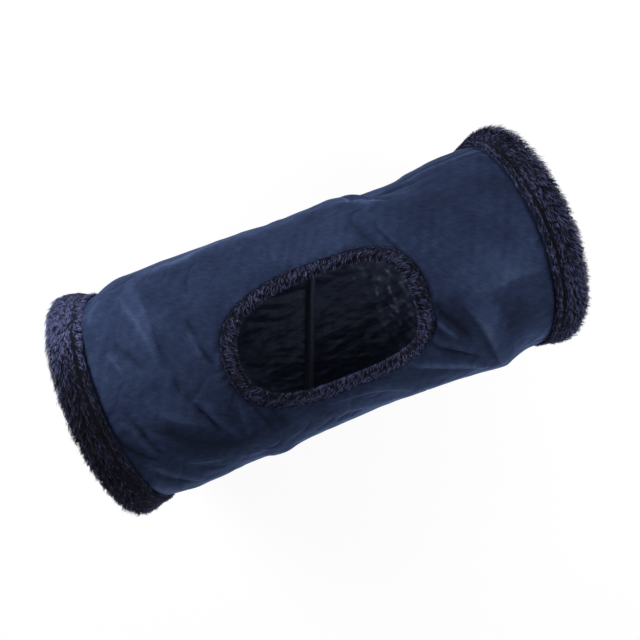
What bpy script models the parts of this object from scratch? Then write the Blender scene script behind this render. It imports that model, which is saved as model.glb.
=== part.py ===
"""A pop-up cat tunnel: a suede tube on a spring coil, with plush edges at both ends and round an
oval opening in its side.

X runs along the tunnel, the opening faces +Z, and the plush edges stand on z = 0. Angles go
round the tunnel's axis, from +Y over the top."""

import math

import bmesh
import bpy
from mathutils import Vector

# Overall sizes, in metres
LENGTH = 0.500
COVER_DIAMETER = 0.234

# Fur bands round the two ends
EDGE_WIDTH = 0.034
EDGE_INNER_WIDTH = 0.028
EDGE_OUTER_THICKNESS = 0.009  # how far the fur stands out past the cover
EDGE_END_THICKNESS = 0.009
EDGE_INNER_THICKNESS = 0.007
EDGE_ROUNDING = 0.0068
FLOOR_FLAT = 0.004  # how far the plush is pressed flat where it stands

# Layers of the tube
COVER_THICKNESS = 0.0010
FILM_THICKNESS = 0.0003
LINING_THICKNESS = 0.0004
CLOTH_SAG = 0.005  # how far a whole pitch of unsupported cloth sinks in

# Spring wire, the tape that holds it, and its crimped sleeves
WIRE_DIAMETER = 0.0022
COIL_PITCH = 0.2505
COIL_LEAN = 0.0066  # the turns lie askew by this much, towards +X on the +Y side
TAPE_THICKNESS = 0.0005
COIL_TAPE_WIDTH = 0.012
CASING_WIDTH = 0.014
SLEEVE_WALL = 0.0004
SLEEVE_LENGTH = 0.012

# Oval opening, measured along the cloth while it lies flat, and its fur band
OPENING_LENGTH = 0.171
OPENING_WIDTH = 0.112
OPENING_TURN = math.radians(-2.5)
OPENING_SQUARENESS = 2.6  # 2 is an ellipse, more is squarer
TRIM_REACH = 0.0125
TRIM_ROLL = 0.004
TRIM_OUTER_THICKNESS = 0.007
TRIM_INNER_THICKNESS = 0.005
TRIM_SQUARENESS = 3.0

THREAD_DIAMETER = 0.0008
GAP = 0.0003
MERGE = 0.0001  # points nearer than this are one point
OVERRUN = 0.020  # how far a cutter passes what it cuts

# Facets
COLUMNS = 32
ROWS = 14
TRIM_STEPS = 40
TRIM_SIDES = 10
CORNER_STEPS = 2
SLEEVE_SIDES = 16
LEVEL_STEPS = 2  # facets of the coil that lie along the hoop at each end

TAU = math.tau
TOP = TAU / 4
BOTTOM = 3 * TOP
SHARP_ANGLE = TAU / 10
STEP = TAU / COLUMNS

# Places along a radius, from the cover inwards
COVER_RADIUS = COVER_DIAMETER / 2
FILM_DEPTH = COVER_THICKNESS + GAP
LINING_DEPTH = FILM_DEPTH + FILM_THICKNESS + GAP
LAYERS = LINING_DEPTH + LINING_THICKNESS
SLEEVE_REACH = WIRE_DIAMETER / 2 + GAP + SLEEVE_WALL
LINING_BORE = COVER_RADIUS - LAYERS
EDGE_RADIUS = COVER_RADIUS + EDGE_OUTER_THICKNESS
AXIS_HEIGHT = EDGE_RADIUS - FLOOR_FLAT

# Places along the tunnel, from its middle to its end
PLUSH_FLOOR = LENGTH / 2 - EDGE_END_THICKNESS
CASING_END = PLUSH_FLOOR - GAP
CLOTH_END = CASING_END - TAPE_THICKNESS - GAP
HOOP_PLACE = CLOTH_END - SLEEVE_REACH
COIL_END = HOOP_PLACE - WIRE_DIAMETER - GAP
CASING_START = CASING_END - CASING_WIDTH

# The lining's flat facets dip this far towards the wire, which lies clear of them
FACET_DIP = CLOTH_SAG * (TAU * CLOTH_END / ROWS / COIL_PITCH) ** 2 / 4
WIRE_RADIUS = LINING_BORE - FACET_DIP - GAP - SLEEVE_REACH
CASING_OUTSIDE = COVER_RADIUS + GAP + TAPE_THICKNESS
CASING_BORE = WIRE_RADIUS - SLEEVE_REACH - GAP - TAPE_THICKNESS

SUEDE = ("suede", (0.026, 0.038, 0.086), 0.9, 0.0)
PLUSH = ("plush", (0.017, 0.019, 0.037), 1.0, 0.0)
TAFFETA = ("taffeta", (0.006, 0.007, 0.013), 0.35, 0.0)
FILM = ("crackling_film", (0.55, 0.56, 0.58), 0.25, 0.0)
TAPE = ("woven_tape", (0.020, 0.022, 0.030), 0.8, 0.0)
STEEL = ("spring_steel", (0.50, 0.51, 0.53), 0.3, 1.0)
CRIMP = ("crimped_steel", (0.60, 0.60, 0.60), 0.4, 1.0)
THREAD = ("thread", (0.018, 0.024, 0.050), 0.7, 0.0)


def clear_scene():
    for old in list(bpy.data.objects):
        bpy.data.objects.remove(old)


def new_collection(name):
    collection = bpy.data.collections.new(name)
    bpy.context.scene.collection.children.link(collection)
    return collection


def material_of(finish):
    name, colour, roughness, metallic = finish
    found = bpy.data.materials.get(name)
    if found:
        return found
    made = bpy.data.materials.new(name)
    made.use_nodes = True
    shader = made.node_tree.nodes["Principled BSDF"]
    shader.inputs["Base Color"].default_value = (*colour, 1)
    shader.inputs["Roughness"].default_value = roughness
    shader.inputs["Metallic"].default_value = metallic
    made.diffuse_color = (*colour, 1)
    return made


def placed(name, data, finish, parent, place=(0, 0, 0), turn=(0, 0, 0)):
    """A sub-part, in its parent's axes."""
    part = bpy.data.objects.new(name, data)
    parts.objects.link(part)
    part.parent = parent
    part.location = place
    part.rotation_euler = turn
    data.materials.clear()
    data.materials.append(material_of(finish))
    return part


def mesh_from(shape, name):
    data = bpy.data.meshes.new(name)
    shape.to_mesh(data)
    shape.free()
    data.shade_smooth()
    data.set_sharp_from_angle(angle=SHARP_ANGLE)
    return data


def as_cutter(cutter):
    cutters.objects.link(cutter)
    cutter.hide_render = True
    cutter.display_type = "WIRE"
    return cutter


def cut(part, cutter):
    trim = part.modifiers.new("cut_by_" + cutter.name, "BOOLEAN")
    trim.operation = "DIFFERENCE"
    trim.solver = "EXACT"
    trim.object = cutter


def thicken_inwards(part, thickness):
    shell = part.modifiers.new("thickness", "SOLIDIFY")
    shell.thickness = thickness
    shell.offset = -1


def helix_x(angle):
    """Where along the tunnel the spring is at this angle. Two turns pass evenly beside the opening."""
    return COIL_PITCH * ((angle - TOP) / TAU - 1 / 2) + COIL_LEAN * math.cos(angle)


def coil_columns(reach):
    """The first and last column at which the helix is within reach of the tunnel's middle."""
    first = last = round(BOTTOM / STEP)
    while abs(helix_x((first - 1) * STEP)) <= reach:
        first -= 1
    while abs(helix_x((last + 1) * STEP)) <= reach:
        last += 1
    return first, last


def supports(angle):
    """The places along the tunnel where wire holds the cloth out, at this angle."""
    found = [-HOOP_PLACE, HOOP_PLACE]
    turns = math.ceil(LENGTH / COIL_PITCH)
    for turn in range(-turns, turns + 1):
        x = helix_x(angle % TAU + turn * TAU)
        if abs(x) < HOOP_PLACE:
            found.append(x)
    return sorted(found)


def cloth_radius(x, angle):
    """The cover's outer radius: full at the wire, less where cloth spans from wire to wire."""
    held = supports(angle)
    for before, after in zip(held, held[1:]):
        if before <= x <= after:
            span = after - before
            sag = CLOTH_SAG * (span / COIL_PITCH) ** 2
            return COVER_RADIUS - sag * math.sin(TAU / 2 * (x - before) / span) ** 2
    return COVER_RADIUS


def round_axis(x, radius, angle):
    return Vector((x, radius * math.cos(angle), radius * math.sin(angle)))


def facet_radius(x, angle):
    """The radius of the cover's flat facets, which lie inside the true curve between columns."""
    column = math.floor(angle / STEP)
    share = angle / STEP - column
    corners = [cloth_radius(x, (column + side) * STEP) for side in (0, 1)]
    corner = corners[0] * (1 - share) + corners[1] * share
    return corner * math.cos(STEP / 2) / math.cos((share - 1 / 2) * STEP)


def on_cloth(x, across, lift):
    """The point on the cover this far along and across the opening's middle, lifted off the cloth."""
    angle = TOP - across / COVER_RADIUS
    return round_axis(x, facet_radius(x, angle) + lift, angle)


def rounded(value, squareness):
    return math.copysign(abs(value) ** (2 / squareness), value)


def opening_point(share, reach):
    """A point this share of the way round the opening, reach outside its edge, on flat cloth."""
    turn = TAU * share
    along = (OPENING_LENGTH / 2 + reach) * rounded(math.cos(turn), OPENING_SQUARENESS)
    across = (OPENING_WIDTH / 2 + reach) * rounded(math.sin(turn), OPENING_SQUARENESS)
    cosine, sine = math.cos(OPENING_TURN), math.sin(OPENING_TURN)
    return along * cosine - across * sine, along * sine + across * cosine


def rolled_cloth(depth):
    """A flat sheet rolled into a tube and joined along its edges, depth inside the cover's face."""
    shape = bmesh.new()
    bmesh.ops.create_grid(shape, x_segments=ROWS, y_segments=COLUMNS, size=1 / 2)
    for point in shape.verts:
        x = 2 * CLOTH_END * point.co.x
        angle = -TAU * point.co.y
        point.co = round_axis(x, cloth_radius(x, angle) - depth, angle)
    bmesh.ops.remove_doubles(shape, verts=shape.verts, dist=MERGE)
    return shape


def opening_cutter(name, reach):
    """A post that stands through the opening, reach wider than it all round."""
    shape = bmesh.new()
    bmesh.ops.create_cone(
        shape, cap_ends=True, segments=TRIM_STEPS, radius1=1, radius2=1, depth=COVER_RADIUS
    )
    for point in shape.verts:
        share = math.atan2(point.co.y, point.co.x) / TAU
        x, across = opening_point(share, reach)
        point.co.x = x
        point.co.y = COVER_RADIUS * math.sin(across / COVER_RADIUS)
        point.co.z += COVER_RADIUS / 2 + OVERRUN
    post = as_cutter(bpy.data.objects.new(name, mesh_from(shape, name)))
    post.location.z = AXIS_HEIGHT
    return post


def slot_cutter():
    """The space that the layers take, for the opening's band to be slotted over them."""
    shape = rolled_cloth(-GAP)
    slot = as_cutter(bpy.data.objects.new("layers_slot", mesh_from(shape, "layers_slot")))
    slot.location.z = AXIS_HEIGHT
    thicken_inwards(slot, LAYERS + 2 * GAP)
    cut(slot, opening_cutter("slot_end", -GAP))
    return slot


def floor_cutter():
    shape = bmesh.new()
    bmesh.ops.create_cube(shape, size=1)
    for point in shape.verts:
        point.co.x *= LENGTH + 2 * OVERRUN
        point.co.y *= 2 * (EDGE_RADIUS + OVERRUN)
        point.co.z = (point.co.z - 1 / 2) * OVERRUN
    return as_cutter(bpy.data.objects.new("floor", mesh_from(shape, "floor")))


def turned(name, outline, finish, parent):
    """A ring round the tunnel's axis. The outline's points are (radius, distance past the hoop)."""
    shape = bmesh.new()
    corners = [shape.verts.new((radius, 0, x)) for radius, x in outline]
    for before, after in zip(corners, corners[1:] + corners[:1]):
        shape.edges.new((before, after))
    ring = placed(name, mesh_from(shape, name), finish, parent, turn=(0, TOP, 0))
    screw = ring.modifiers.new("turn", "SCREW")
    screw.steps = screw.render_steps = COLUMNS
    screw.use_merge_vertices = True
    screw.merge_threshold = MERGE
    screw.use_smooth_shade = True
    return ring


def corner(radius, x, size, start):
    """A quarter turn of an outline, clockwise from start, about this centre."""
    points = []
    for step in range(CORNER_STEPS + 1):
        angle = start - TOP * step / CORNER_STEPS
        points.append((radius + size * math.cos(angle), x + size * math.sin(angle)))
    return points


def plush_edge_outline():
    """A plump band folded over the tunnel's end, with a slot for the layers and the hoop."""
    end = LENGTH / 2 - HOOP_PLACE
    slot_outside = CASING_OUTSIDE + GAP
    slot_inside = CASING_BORE - GAP
    mouth = slot_inside - EDGE_INNER_THICKNESS
    outer = min(EDGE_ROUNDING, EDGE_RADIUS - slot_outside - GAP)
    inner = min(EDGE_ROUNDING, EDGE_INNER_THICKNESS - GAP)
    floor = PLUSH_FLOOR - HOOP_PLACE
    return [
        *corner(EDGE_RADIUS - outer, end - outer, outer, TOP),
        *corner(EDGE_RADIUS - outer, end - EDGE_WIDTH + outer, outer, 0),
        (slot_outside, end - EDGE_WIDTH),
        (slot_outside, floor),
        (slot_inside, floor),
        (slot_inside, end - EDGE_INNER_WIDTH),
        *corner(mouth + inner, end - EDGE_INNER_WIDTH + inner, inner, -TOP),
        *corner(mouth + inner, end - inner, inner, -2 * TOP),
    ]


def hoop_casing_outline():
    """A tape folded round the hoop and over both faces of the layers."""
    start = CASING_START - HOOP_PLACE
    end = CASING_END - HOOP_PLACE
    return [
        (CASING_OUTSIDE, end),
        (CASING_OUTSIDE, start),
        (CASING_OUTSIDE - TAPE_THICKNESS, start),
        (CASING_OUTSIDE - TAPE_THICKNESS, end - TAPE_THICKNESS),
        (CASING_BORE + TAPE_THICKNESS, end - TAPE_THICKNESS),
        (CASING_BORE + TAPE_THICKNESS, start),
        (CASING_BORE, start),
        (CASING_BORE, end),
    ]


def strand(name, points, diameter, finish, parent, closed=False):
    """A wire or thread through these points."""
    curve = bpy.data.curves.new(name, "CURVE")
    curve.dimensions = "3D"
    curve.bevel_depth = diameter / 2
    curve.bevel_resolution = 1
    curve.use_fill_caps = not closed
    spline = curve.splines.new("POLY")
    spline.points.add(len(points) - 1)
    for place, point in zip(spline.points, points):
        place.co = (*point, 1)
    spline.use_cyclic_u = closed
    return placed(name, curve, finish, parent)


def sleeve(name, spread, x, angle, parent):
    """A crimped sleeve round one wire, or round two that lie spread to each side of its middle."""
    shape = bmesh.new()
    bmesh.ops.create_cone(
        shape, segments=SLEEVE_SIDES, radius1=SLEEVE_REACH, radius2=SLEEVE_REACH, depth=SLEEVE_LENGTH
    )
    for point in shape.verts:
        if abs(point.co.x) > MERGE:
            point.co.x += math.copysign(spread, point.co.x)
    place = round_axis(x, WIRE_RADIUS * math.cos(STEP / 2), angle)
    part = placed(name, mesh_from(shape, name), CRIMP, parent, place, (angle, 0, 0))
    thicken_inwards(part, SLEEVE_WALL)
    return part


def end_hoop(name, joint_angle, parent):
    """A ring of wire whose ends meet at joint_angle, in the middle of a facet."""
    radius = WIRE_RADIUS * math.cos(STEP / 2)
    middle = round_axis(0, radius, joint_angle)
    along = Vector((0, -math.sin(joint_angle), math.cos(joint_angle))) * GAP / 2
    points = [middle + along]
    for column in range(COLUMNS):
        points.append(round_axis(0, WIRE_RADIUS, joint_angle + (column + 1 / 2) * STEP))
    points.append(middle - along)
    return strand(name, points, WIRE_DIAMETER, STEEL, parent)


def spring_coil(parent):
    """One wire from hoop to hoop, level beside each hoop where a sleeve joins them."""
    first, last = coil_columns(COIL_END)
    points = []
    for column in range(first - LEVEL_STEPS, last + LEVEL_STEPS + 1):
        x = max(-COIL_END, min(COIL_END, helix_x(column * STEP)))
        points.append(round_axis(x, WIRE_RADIUS, column * STEP))
    return strand("spring_coil", points, WIRE_DIAMETER, STEEL, parent)


def coil_tape(parent):
    """A strip sewn along both sides of the wire, which holds it against the lining."""
    seat = LINING_BORE - FACET_DIP - GAP
    under = WIRE_RADIUS - WIRE_DIAMETER / 2 - GAP
    narrow = WIRE_DIAMETER / 2 + GAP
    section = [(COIL_TAPE_WIDTH / 2, seat), (2 * narrow, seat), (narrow, under)]
    section += [(-across, radius) for across, radius in reversed(section)]
    first, last = coil_columns(CASING_START - GAP - COIL_TAPE_WIDTH / 2)
    shape = bmesh.new()
    bmesh.ops.create_grid(
        shape, x_segments=len(section) - 1, y_segments=last - first, size=1 / 2
    )
    for point in shape.verts:
        across, radius = section[round((1 / 2 - point.co.x) * (len(section) - 1))]
        angle = (last - (point.co.y + 1 / 2) * (last - first)) * STEP
        point.co = round_axis(helix_x(angle) + across, radius, angle)
    part = placed("coil_tape", mesh_from(shape, "coil_tape"), TAPE, parent)
    thicken_inwards(part, TAPE_THICKNESS)
    return part


def opening_plush_edge(parent):
    """A plump band folded over the opening's edge, swept round it and slotted for the layers."""
    half_width = (TRIM_REACH + TRIM_ROLL) / 2
    half_height = (TRIM_OUTER_THICKNESS + LAYERS + TRIM_INNER_THICKNESS) / 2
    ring = [on_cloth(*opening_point(step / TRIM_STEPS, 0), 0) for step in range(TRIM_STEPS)]
    shape = bmesh.new()
    sections = []
    for step, place in enumerate(ring):
        along = ring[(step + 1) % TRIM_STEPS] - ring[step - 1]
        up = Vector((0, place.y, place.z)).normalized()
        out = along.cross(up).normalized()
        section = []
        for side in range(TRIM_SIDES):
            turn = TAU * side / TRIM_SIDES
            across = half_width * rounded(math.cos(turn), TRIM_SQUARENESS)
            height = half_height * rounded(math.sin(turn), TRIM_SQUARENESS)
            across += TRIM_REACH - half_width
            height += TRIM_OUTER_THICKNESS - half_height
            section.append(shape.verts.new(place + out * across + up * height))
        sections.append(section)
    for step, section in enumerate(sections):
        after = sections[(step + 1) % TRIM_STEPS]
        for side in range(TRIM_SIDES):
            beside = (side + 1) % TRIM_SIDES
            shape.faces.new((section[side], section[beside], after[beside], after[side]))
    bmesh.ops.recalc_face_normals(shape, faces=shape.faces)
    part = placed("opening_plush_edge", mesh_from(shape, "opening_plush_edge"), PLUSH, parent)
    cut(part, slot_cutter())
    return part


def opening_stitching(parent):
    """The thread that runs round the outside of the opening's band."""
    reach = TRIM_REACH + GAP + THREAD_DIAMETER / 2
    lift = 2 * GAP + THREAD_DIAMETER / 2
    points = []
    for step in range(2 * TRIM_STEPS):
        points.append(on_cloth(*opening_point(step / (2 * TRIM_STEPS), reach), lift))
    return strand("opening_stitching", points, THREAD_DIAMETER, THREAD, parent, closed=True)


def edge_stitching(name, side, parent):
    """The thread that runs round the cover beside an end's band, in the end's own axes."""
    x = side * (LENGTH / 2 - EDGE_WIDTH - GAP - THREAD_DIAMETER / 2)
    points = []
    for column in range(COLUMNS):
        angle = column * STEP
        radius = cloth_radius(x, angle) + GAP + THREAD_DIAMETER / 2
        point = round_axis(x - side * HOOP_PLACE, radius, angle)
        points.append((side * point.x, side * point.y, point.z))
    return strand(name, points, THREAD_DIAMETER, THREAD, parent, closed=True)


def new_empty(name, place, turn=(0, 0, 0)):
    empty = bpy.data.objects.new(name, None)
    parts.objects.link(empty)
    empty.location = place
    empty.rotation_euler = turn
    return empty


def build_tube(axis):
    """The three layers, each with the opening cut in it, and the coil in its tape."""
    opening = opening_cutter("opening", 0)
    for name, depth, thickness, finish in (
        ("cover", 0, COVER_THICKNESS, SUEDE),
        ("crinkle_film", FILM_DEPTH, FILM_THICKNESS, FILM),
        ("lining", LINING_DEPTH, LINING_THICKNESS, TAFFETA),
    ):
        layer = placed(name, mesh_from(rolled_cloth(depth), name), finish, axis)
        thicken_inwards(layer, thickness)
        cut(layer, opening)
    spring_coil(axis)
    coil_tape(axis)


def build_end(side_name, side, floor):
    """One end, built outwards along its own +X. The left end is turned half round to face -X."""
    first, last = coil_columns(COIL_END)
    coil_column = last + LEVEL_STEPS - 1 / 2 if side > 0 else first - LEVEL_STEPS + 1 / 2
    coil_angle = coil_column * STEP if side > 0 else TAU / 2 - coil_column * STEP
    hoop_angle = coil_angle + TAU / 2
    spread = (WIRE_DIAMETER + GAP) / 2
    end = new_empty(
        side_name + "_end", (side * HOOP_PLACE, 0, AXIS_HEIGHT), (0, 0, 0 if side > 0 else TAU / 2)
    )
    edge = turned(side_name + "_plush_edge", plush_edge_outline(), PLUSH, end)
    cut(edge, floor)
    turned(side_name + "_hoop_casing", hoop_casing_outline(), TAPE, end)
    end_hoop(side_name + "_end_hoop", hoop_angle, end)
    sleeve(side_name + "_hoop_sleeve", 0, 0, hoop_angle, end)
    sleeve(side_name + "_coil_sleeve", spread, -spread, coil_angle, end)
    edge_stitching(side_name + "_edge_stitching", side, end)


clear_scene()
parts = new_collection("cat_tunnel")
cutters = new_collection("cutters")
tunnel_axis = new_empty("tunnel_axis", (0, 0, AXIS_HEIGHT))
opening_axis = new_empty("opening_middle", (0, 0, AXIS_HEIGHT))
floor_block = floor_cutter()
build_tube(tunnel_axis)
build_end("left", -1, floor_block)
build_end("right", 1, floor_block)
opening_plush_edge(opening_axis)
opening_stitching(opening_axis)
bpy.context.view_layer.update()
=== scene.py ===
# %% [markdown]
# # A pop-up cat tunnel
# A cat tunnel is a tube of cloth held open by one long spring. Both of its ends, and the oval
# opening in its side, are bound with bands of fur. This file makes the looks of such a tunnel
# around an exact model of its parts, which it loads first and never moves. Each step below says
# what a piece is on the real tunnel, how it could be made in Blender, and why one way was chosen.

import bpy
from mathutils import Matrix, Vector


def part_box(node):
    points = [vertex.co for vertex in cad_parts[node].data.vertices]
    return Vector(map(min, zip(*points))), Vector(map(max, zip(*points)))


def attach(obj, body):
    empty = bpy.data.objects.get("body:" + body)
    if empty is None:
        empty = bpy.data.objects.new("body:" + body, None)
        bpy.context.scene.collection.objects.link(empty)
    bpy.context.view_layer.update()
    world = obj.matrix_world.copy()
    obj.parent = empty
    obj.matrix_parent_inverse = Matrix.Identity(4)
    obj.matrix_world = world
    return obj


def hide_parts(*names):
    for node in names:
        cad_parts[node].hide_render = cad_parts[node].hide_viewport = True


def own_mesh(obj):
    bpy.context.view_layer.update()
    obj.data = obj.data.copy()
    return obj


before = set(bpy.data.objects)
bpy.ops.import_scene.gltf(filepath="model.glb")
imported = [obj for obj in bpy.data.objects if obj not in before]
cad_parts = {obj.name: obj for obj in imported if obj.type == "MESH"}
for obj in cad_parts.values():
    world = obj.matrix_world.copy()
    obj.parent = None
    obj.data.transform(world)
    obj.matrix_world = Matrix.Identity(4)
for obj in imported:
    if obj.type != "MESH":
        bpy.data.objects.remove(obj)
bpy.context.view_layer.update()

# %% [markdown]
# The exact model gives the sizes. The cover is a tube along X, so half of its box's width is its
# radius, and the middle of its box's height is the height of the tunnel's axis. Reading such sizes
# from the model, and not typing them again, keeps every new piece in its place.

# %% Sizes read from the model
import math

import bpy
import numpy as np
from mathutils import Matrix, Vector

cover_low, cover_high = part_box("cover")
fur_low, fur_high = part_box("right_plush_edge")
hoop_low, hoop_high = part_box("right_end_hoop")
casing_low, casing_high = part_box("right_hoop_casing")

TAU = math.tau
COVER_RADIUS = (cover_high.y - cover_low.y) / 2
AXIS_HEIGHT = cover_high.z - COVER_RADIUS
CLOTH_END = cover_high.x
HOOP_PLACE = (hoop_low.x + hoop_high.x) / 2
BAND_START = fur_low.x
BAND_END = fur_high.x
middle = Vector((0, 0, AXIS_HEIGHT))
print(f"cover radius {COVER_RADIUS:.4f} m, axis {AXIS_HEIGHT:.4f} m above the floor")

# %% [markdown]
# The photograph was taken from almost straight above, with the tunnel lying askew in the frame.
# A camera could be aimed by a constraint, but three plain values say more: how far it is from the
# tunnel's middle, how far it leans to each side, and how far it is turned about its own line of
# sight. Its axes are then three vectors at right angles, found with two cross products.

# %% Camera
CAMERA_DISTANCE = 0.6455
LEAN_LEFT = math.radians(3.24)
LEAN_BACK = math.radians(6.0)
ROLL = math.radians(-21.49)
FOCAL_SHARE = 0.9066  # the focal length as a share of the picture's width
AIM_SHIFT = (0.003, -0.0022)

back = Vector((-math.sin(LEAN_LEFT), math.sin(LEAN_BACK), 0))
back.z = math.sqrt(1 - back.length_squared)
level = Vector((0, 1, 0)).cross(back).normalized()
picture_right = Matrix.Rotation(ROLL, 3, back) @ level
picture_up = back.cross(picture_right)

lens = bpy.data.cameras.new("camera")
lens.lens = lens.sensor_width * FOCAL_SHARE
lens.shift_x, lens.shift_y = AIM_SHIFT
camera = bpy.data.objects.new("camera", lens)
bpy.context.scene.collection.objects.link(camera)
camera.matrix_world = Matrix.Translation(middle + back * CAMERA_DISTANCE) @ Matrix(
    (picture_right, picture_up, back)
).transposed().to_4x4()
bpy.context.scene.camera = camera
print("camera at", [round(value, 4) for value in camera.matrix_world.translation])

# %% [markdown]
# A material in Blender is a small network of nodes. These helpers make one with a Principled
# shader, add nodes to it and join them, so that each finish below can be written as a short recipe.
# Values that are the same all over a surface go straight onto the shader's own sockets.

# %% Helpers for finishes
finishes = {}


def new_finish(name, **settings):
    """A material and its shader. Settings are the shader's sockets, with _ for a space."""
    finish = finishes[name] = bpy.data.materials.new(name)
    finish.use_nodes = True
    shader = finish.node_tree.nodes["Principled BSDF"]
    for socket, value in settings.items():
        shader.inputs[socket.replace("_", " ")].default_value = value
    return finish.node_tree, shader


def add_node(tree, kind, inputs=(), **settings):
    """A new node. Inputs are (socket, value), where a value may be another node's output."""
    node = tree.nodes.new("ShaderNode" + kind)
    for name, value in settings.items():
        setattr(node, name, value)
    for socket, value in inputs:
        if isinstance(value, bpy.types.NodeSocket):
            tree.links.new(value, node.inputs[socket])
        else:
            node.inputs[socket].default_value = value
    return node


def drawn_out(tree, place, stretch, turn=0.0):
    """Places turned about Z and then scaled, which draws a pattern out along any axis below 1."""
    turned = add_node(tree, "Mapping", [("Vector", place), ("Rotation", (0, 0, turn))])
    return add_node(tree, "Mapping", [("Vector", turned.outputs[0]), ("Scale", stretch)]).outputs[0]


def add_noise(tree, place, scale, detail=3.0, stretch=(1, 1, 1), turn=0.0):
    """Cloudy noise with this many clouds to the metre."""
    place = drawn_out(tree, place, stretch, turn)
    noise = add_node(tree, "TexNoise", [("Vector", place), ("Scale", scale), ("Detail", detail)])
    return noise.outputs["Fac"]


def add_sum(tree, *terms):
    """Adds values, each (output, weight), in one chain of multiply and add."""
    total = 0.0
    for output, weight in terms:
        inputs = [(0, output), (1, weight), (2, total)]
        total = add_node(tree, "Math", inputs, operation="MULTIPLY_ADD").outputs[0]
    return total


def add_colours(tree, shader, factor, *stops):
    """Colours the shader along a scale from 0 to 1, each stop a place and a colour."""
    ramp = add_node(tree, "ValToRGB", [("Fac", factor)])
    while len(ramp.color_ramp.elements) < len(stops):
        ramp.color_ramp.elements.new(1)
    for element, (place, colour) in zip(ramp.color_ramp.elements, stops):
        element.position = place
        element.color = (*colour, 1)
    tree.links.new(ramp.outputs["Color"], shader.inputs["Base Color"])


def add_bump(tree, shader, height, distance):
    bump = add_node(tree, "Bump", [("Height", height), ("Distance", distance)])
    tree.links.new(bump.outputs[0], shader.inputs["Normal"])


print("finish helpers ready")

# %% [markdown]
# Shop photographs stand on pure white. Turning the lamps up to reach it would wash the tunnel out,
# so the world and the floor look white only to the camera and to mirror-like rays, and light the
# tunnel at a plain, soft level. The Light Path node tells such rays apart. The floor still mixes in
# a share of its true shading, and that keeps the soft shadow under the tunnel.

# %% World and floor
AMBIENT = 0.28
FLOOR_GLOW = 0.85
GLOW_LEVEL = 1.07  # makes up for the share of the floor that shades like a real one
FLOOR_HALF = 3.0
WHITE = (1, 1, 1, 1)
FLOOR_WHITE = (0.86, 0.86, 0.86, 1)


def seen_directly(tree):
    """1 for rays from the camera and for rays that a glossy or clear surface sends on."""
    path = add_node(tree, "LightPath")
    glossy = add_sum(tree, (path.outputs["Is Camera Ray"], 1.0), (path.outputs["Is Glossy Ray"], 1.0))
    inputs = [(0, glossy), (1, path.outputs["Is Transmission Ray"])]
    return add_node(tree, "Math", inputs, operation="ADD", use_clamp=True).outputs[0]


world = bpy.data.worlds.new("soft_sky")
world.use_nodes = True
bpy.context.scene.world = world
sky = world.node_tree
sky.nodes.clear()
dim = add_node(sky, "Background", [("Color", WHITE), ("Strength", AMBIENT)]).outputs[0]
bright = add_node(sky, "Background", [("Color", WHITE), ("Strength", 1.0)]).outputs[0]
chosen = add_node(sky, "MixShader", [(0, seen_directly(sky)), (1, dim), (2, bright)])
add_node(sky, "OutputWorld", [("Surface", chosen.outputs[0])])

tree, shader = new_finish("pale_floor", Base_Color=FLOOR_WHITE, Roughness=1.0, Specular_IOR_Level=0.0)
glow = add_node(tree, "Emission", [("Color", WHITE), ("Strength", GLOW_LEVEL)]).outputs[0]
glow_share = add_sum(tree, (seen_directly(tree), FLOOR_GLOW))
chosen = add_node(tree, "MixShader", [(0, glow_share), (1, shader.outputs[0]), (2, glow)])
tree.links.new(chosen.outputs[0], tree.nodes["Material Output"].inputs["Surface"])

floor_mesh = bpy.data.meshes.new("floor")
corners = [(x * FLOOR_HALF, y * FLOOR_HALF, 0) for x, y in ((-1, -1), (1, -1), (1, 1), (-1, 1))]
floor_mesh.from_pydata(corners, [], [(0, 1, 2, 3)])
floor_mesh.materials.append(finishes["pale_floor"])
floor = bpy.data.objects.new("floor", floor_mesh)
bpy.context.scene.collection.objects.link(floor)
bpy.context.scene.view_settings.view_transform = "Standard"
print("floor and world made, ambient level", AMBIENT)

# %% [markdown]
# In the photograph the left end's far side is brightest, its near side is nearly black, and the
# right end is evenly lit. So one wide lamp stands low on the far side at the left, and a weaker one
# on the near side at the right. Area lamps about as wide as their distance give shadows with no
# hard edge. The low main lamp also brings out the folds, because it grazes them.

# %% Two lamps
LAMPS = {
    # place from the tunnel's middle, size, watts
    "key_lamp": ((-0.70, 0.85, 0.55), 0.55, 12.5),
    "fill_lamp": ((0.80, -0.22, 0.42), 0.45, 4.2),
}

for lamp_name, (lamp_place, lamp_size, watts) in LAMPS.items():
    lamp = bpy.data.lights.new(lamp_name, "AREA")
    lamp.size = lamp_size
    lamp.energy = watts
    stand = bpy.data.objects.new(lamp_name, lamp)
    bpy.context.scene.collection.objects.link(stand)
    stand.location = middle + Vector(lamp_place)
    stand.rotation_euler = (middle - stand.location).to_track_quat("-Z", "Y").to_euler()
    print(f"{lamp_name} {Vector(lamp_place).length:.2f} m from the tunnel")

# %% [markdown]
# Everything on the tube is easiest to place on its flat cloth: how far along the tunnel a point is,
# and how far across from the line on top. Rolling the cloth up turns the second value into an angle.
# The arrays hold all the points of a piece at once, because numpy moves a hundred thousand points
# in the time that a Python loop takes for a few hundred.

# %% Rolling flat cloth into a tube
HALF_ROUND = TAU / 2 * COVER_RADIUS


def rolled(x, across, radius):
    """Points of the tube for places on its flat cloth, this far from the axis."""
    angle = TAU / 4 - across / COVER_RADIUS
    return np.stack([x, radius * np.cos(angle), AXIS_HEIGHT + radius * np.sin(angle)], axis=-1)


def flat_cloth(step, evenness=1.0):
    """Places on the flat cloth, one step apart on top and, if evenness is below 1, more underneath."""
    x = np.linspace(-CLOTH_END, CLOTH_END, round(2 * CLOTH_END / step) + 1)
    share = np.linspace(-1, 1, round(2 * evenness * HALF_ROUND / step) + 1)
    across = HALF_ROUND * (evenness * share + (1 - evenness) * share**5)
    return np.meshgrid(x, across, indexing="ij")


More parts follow.
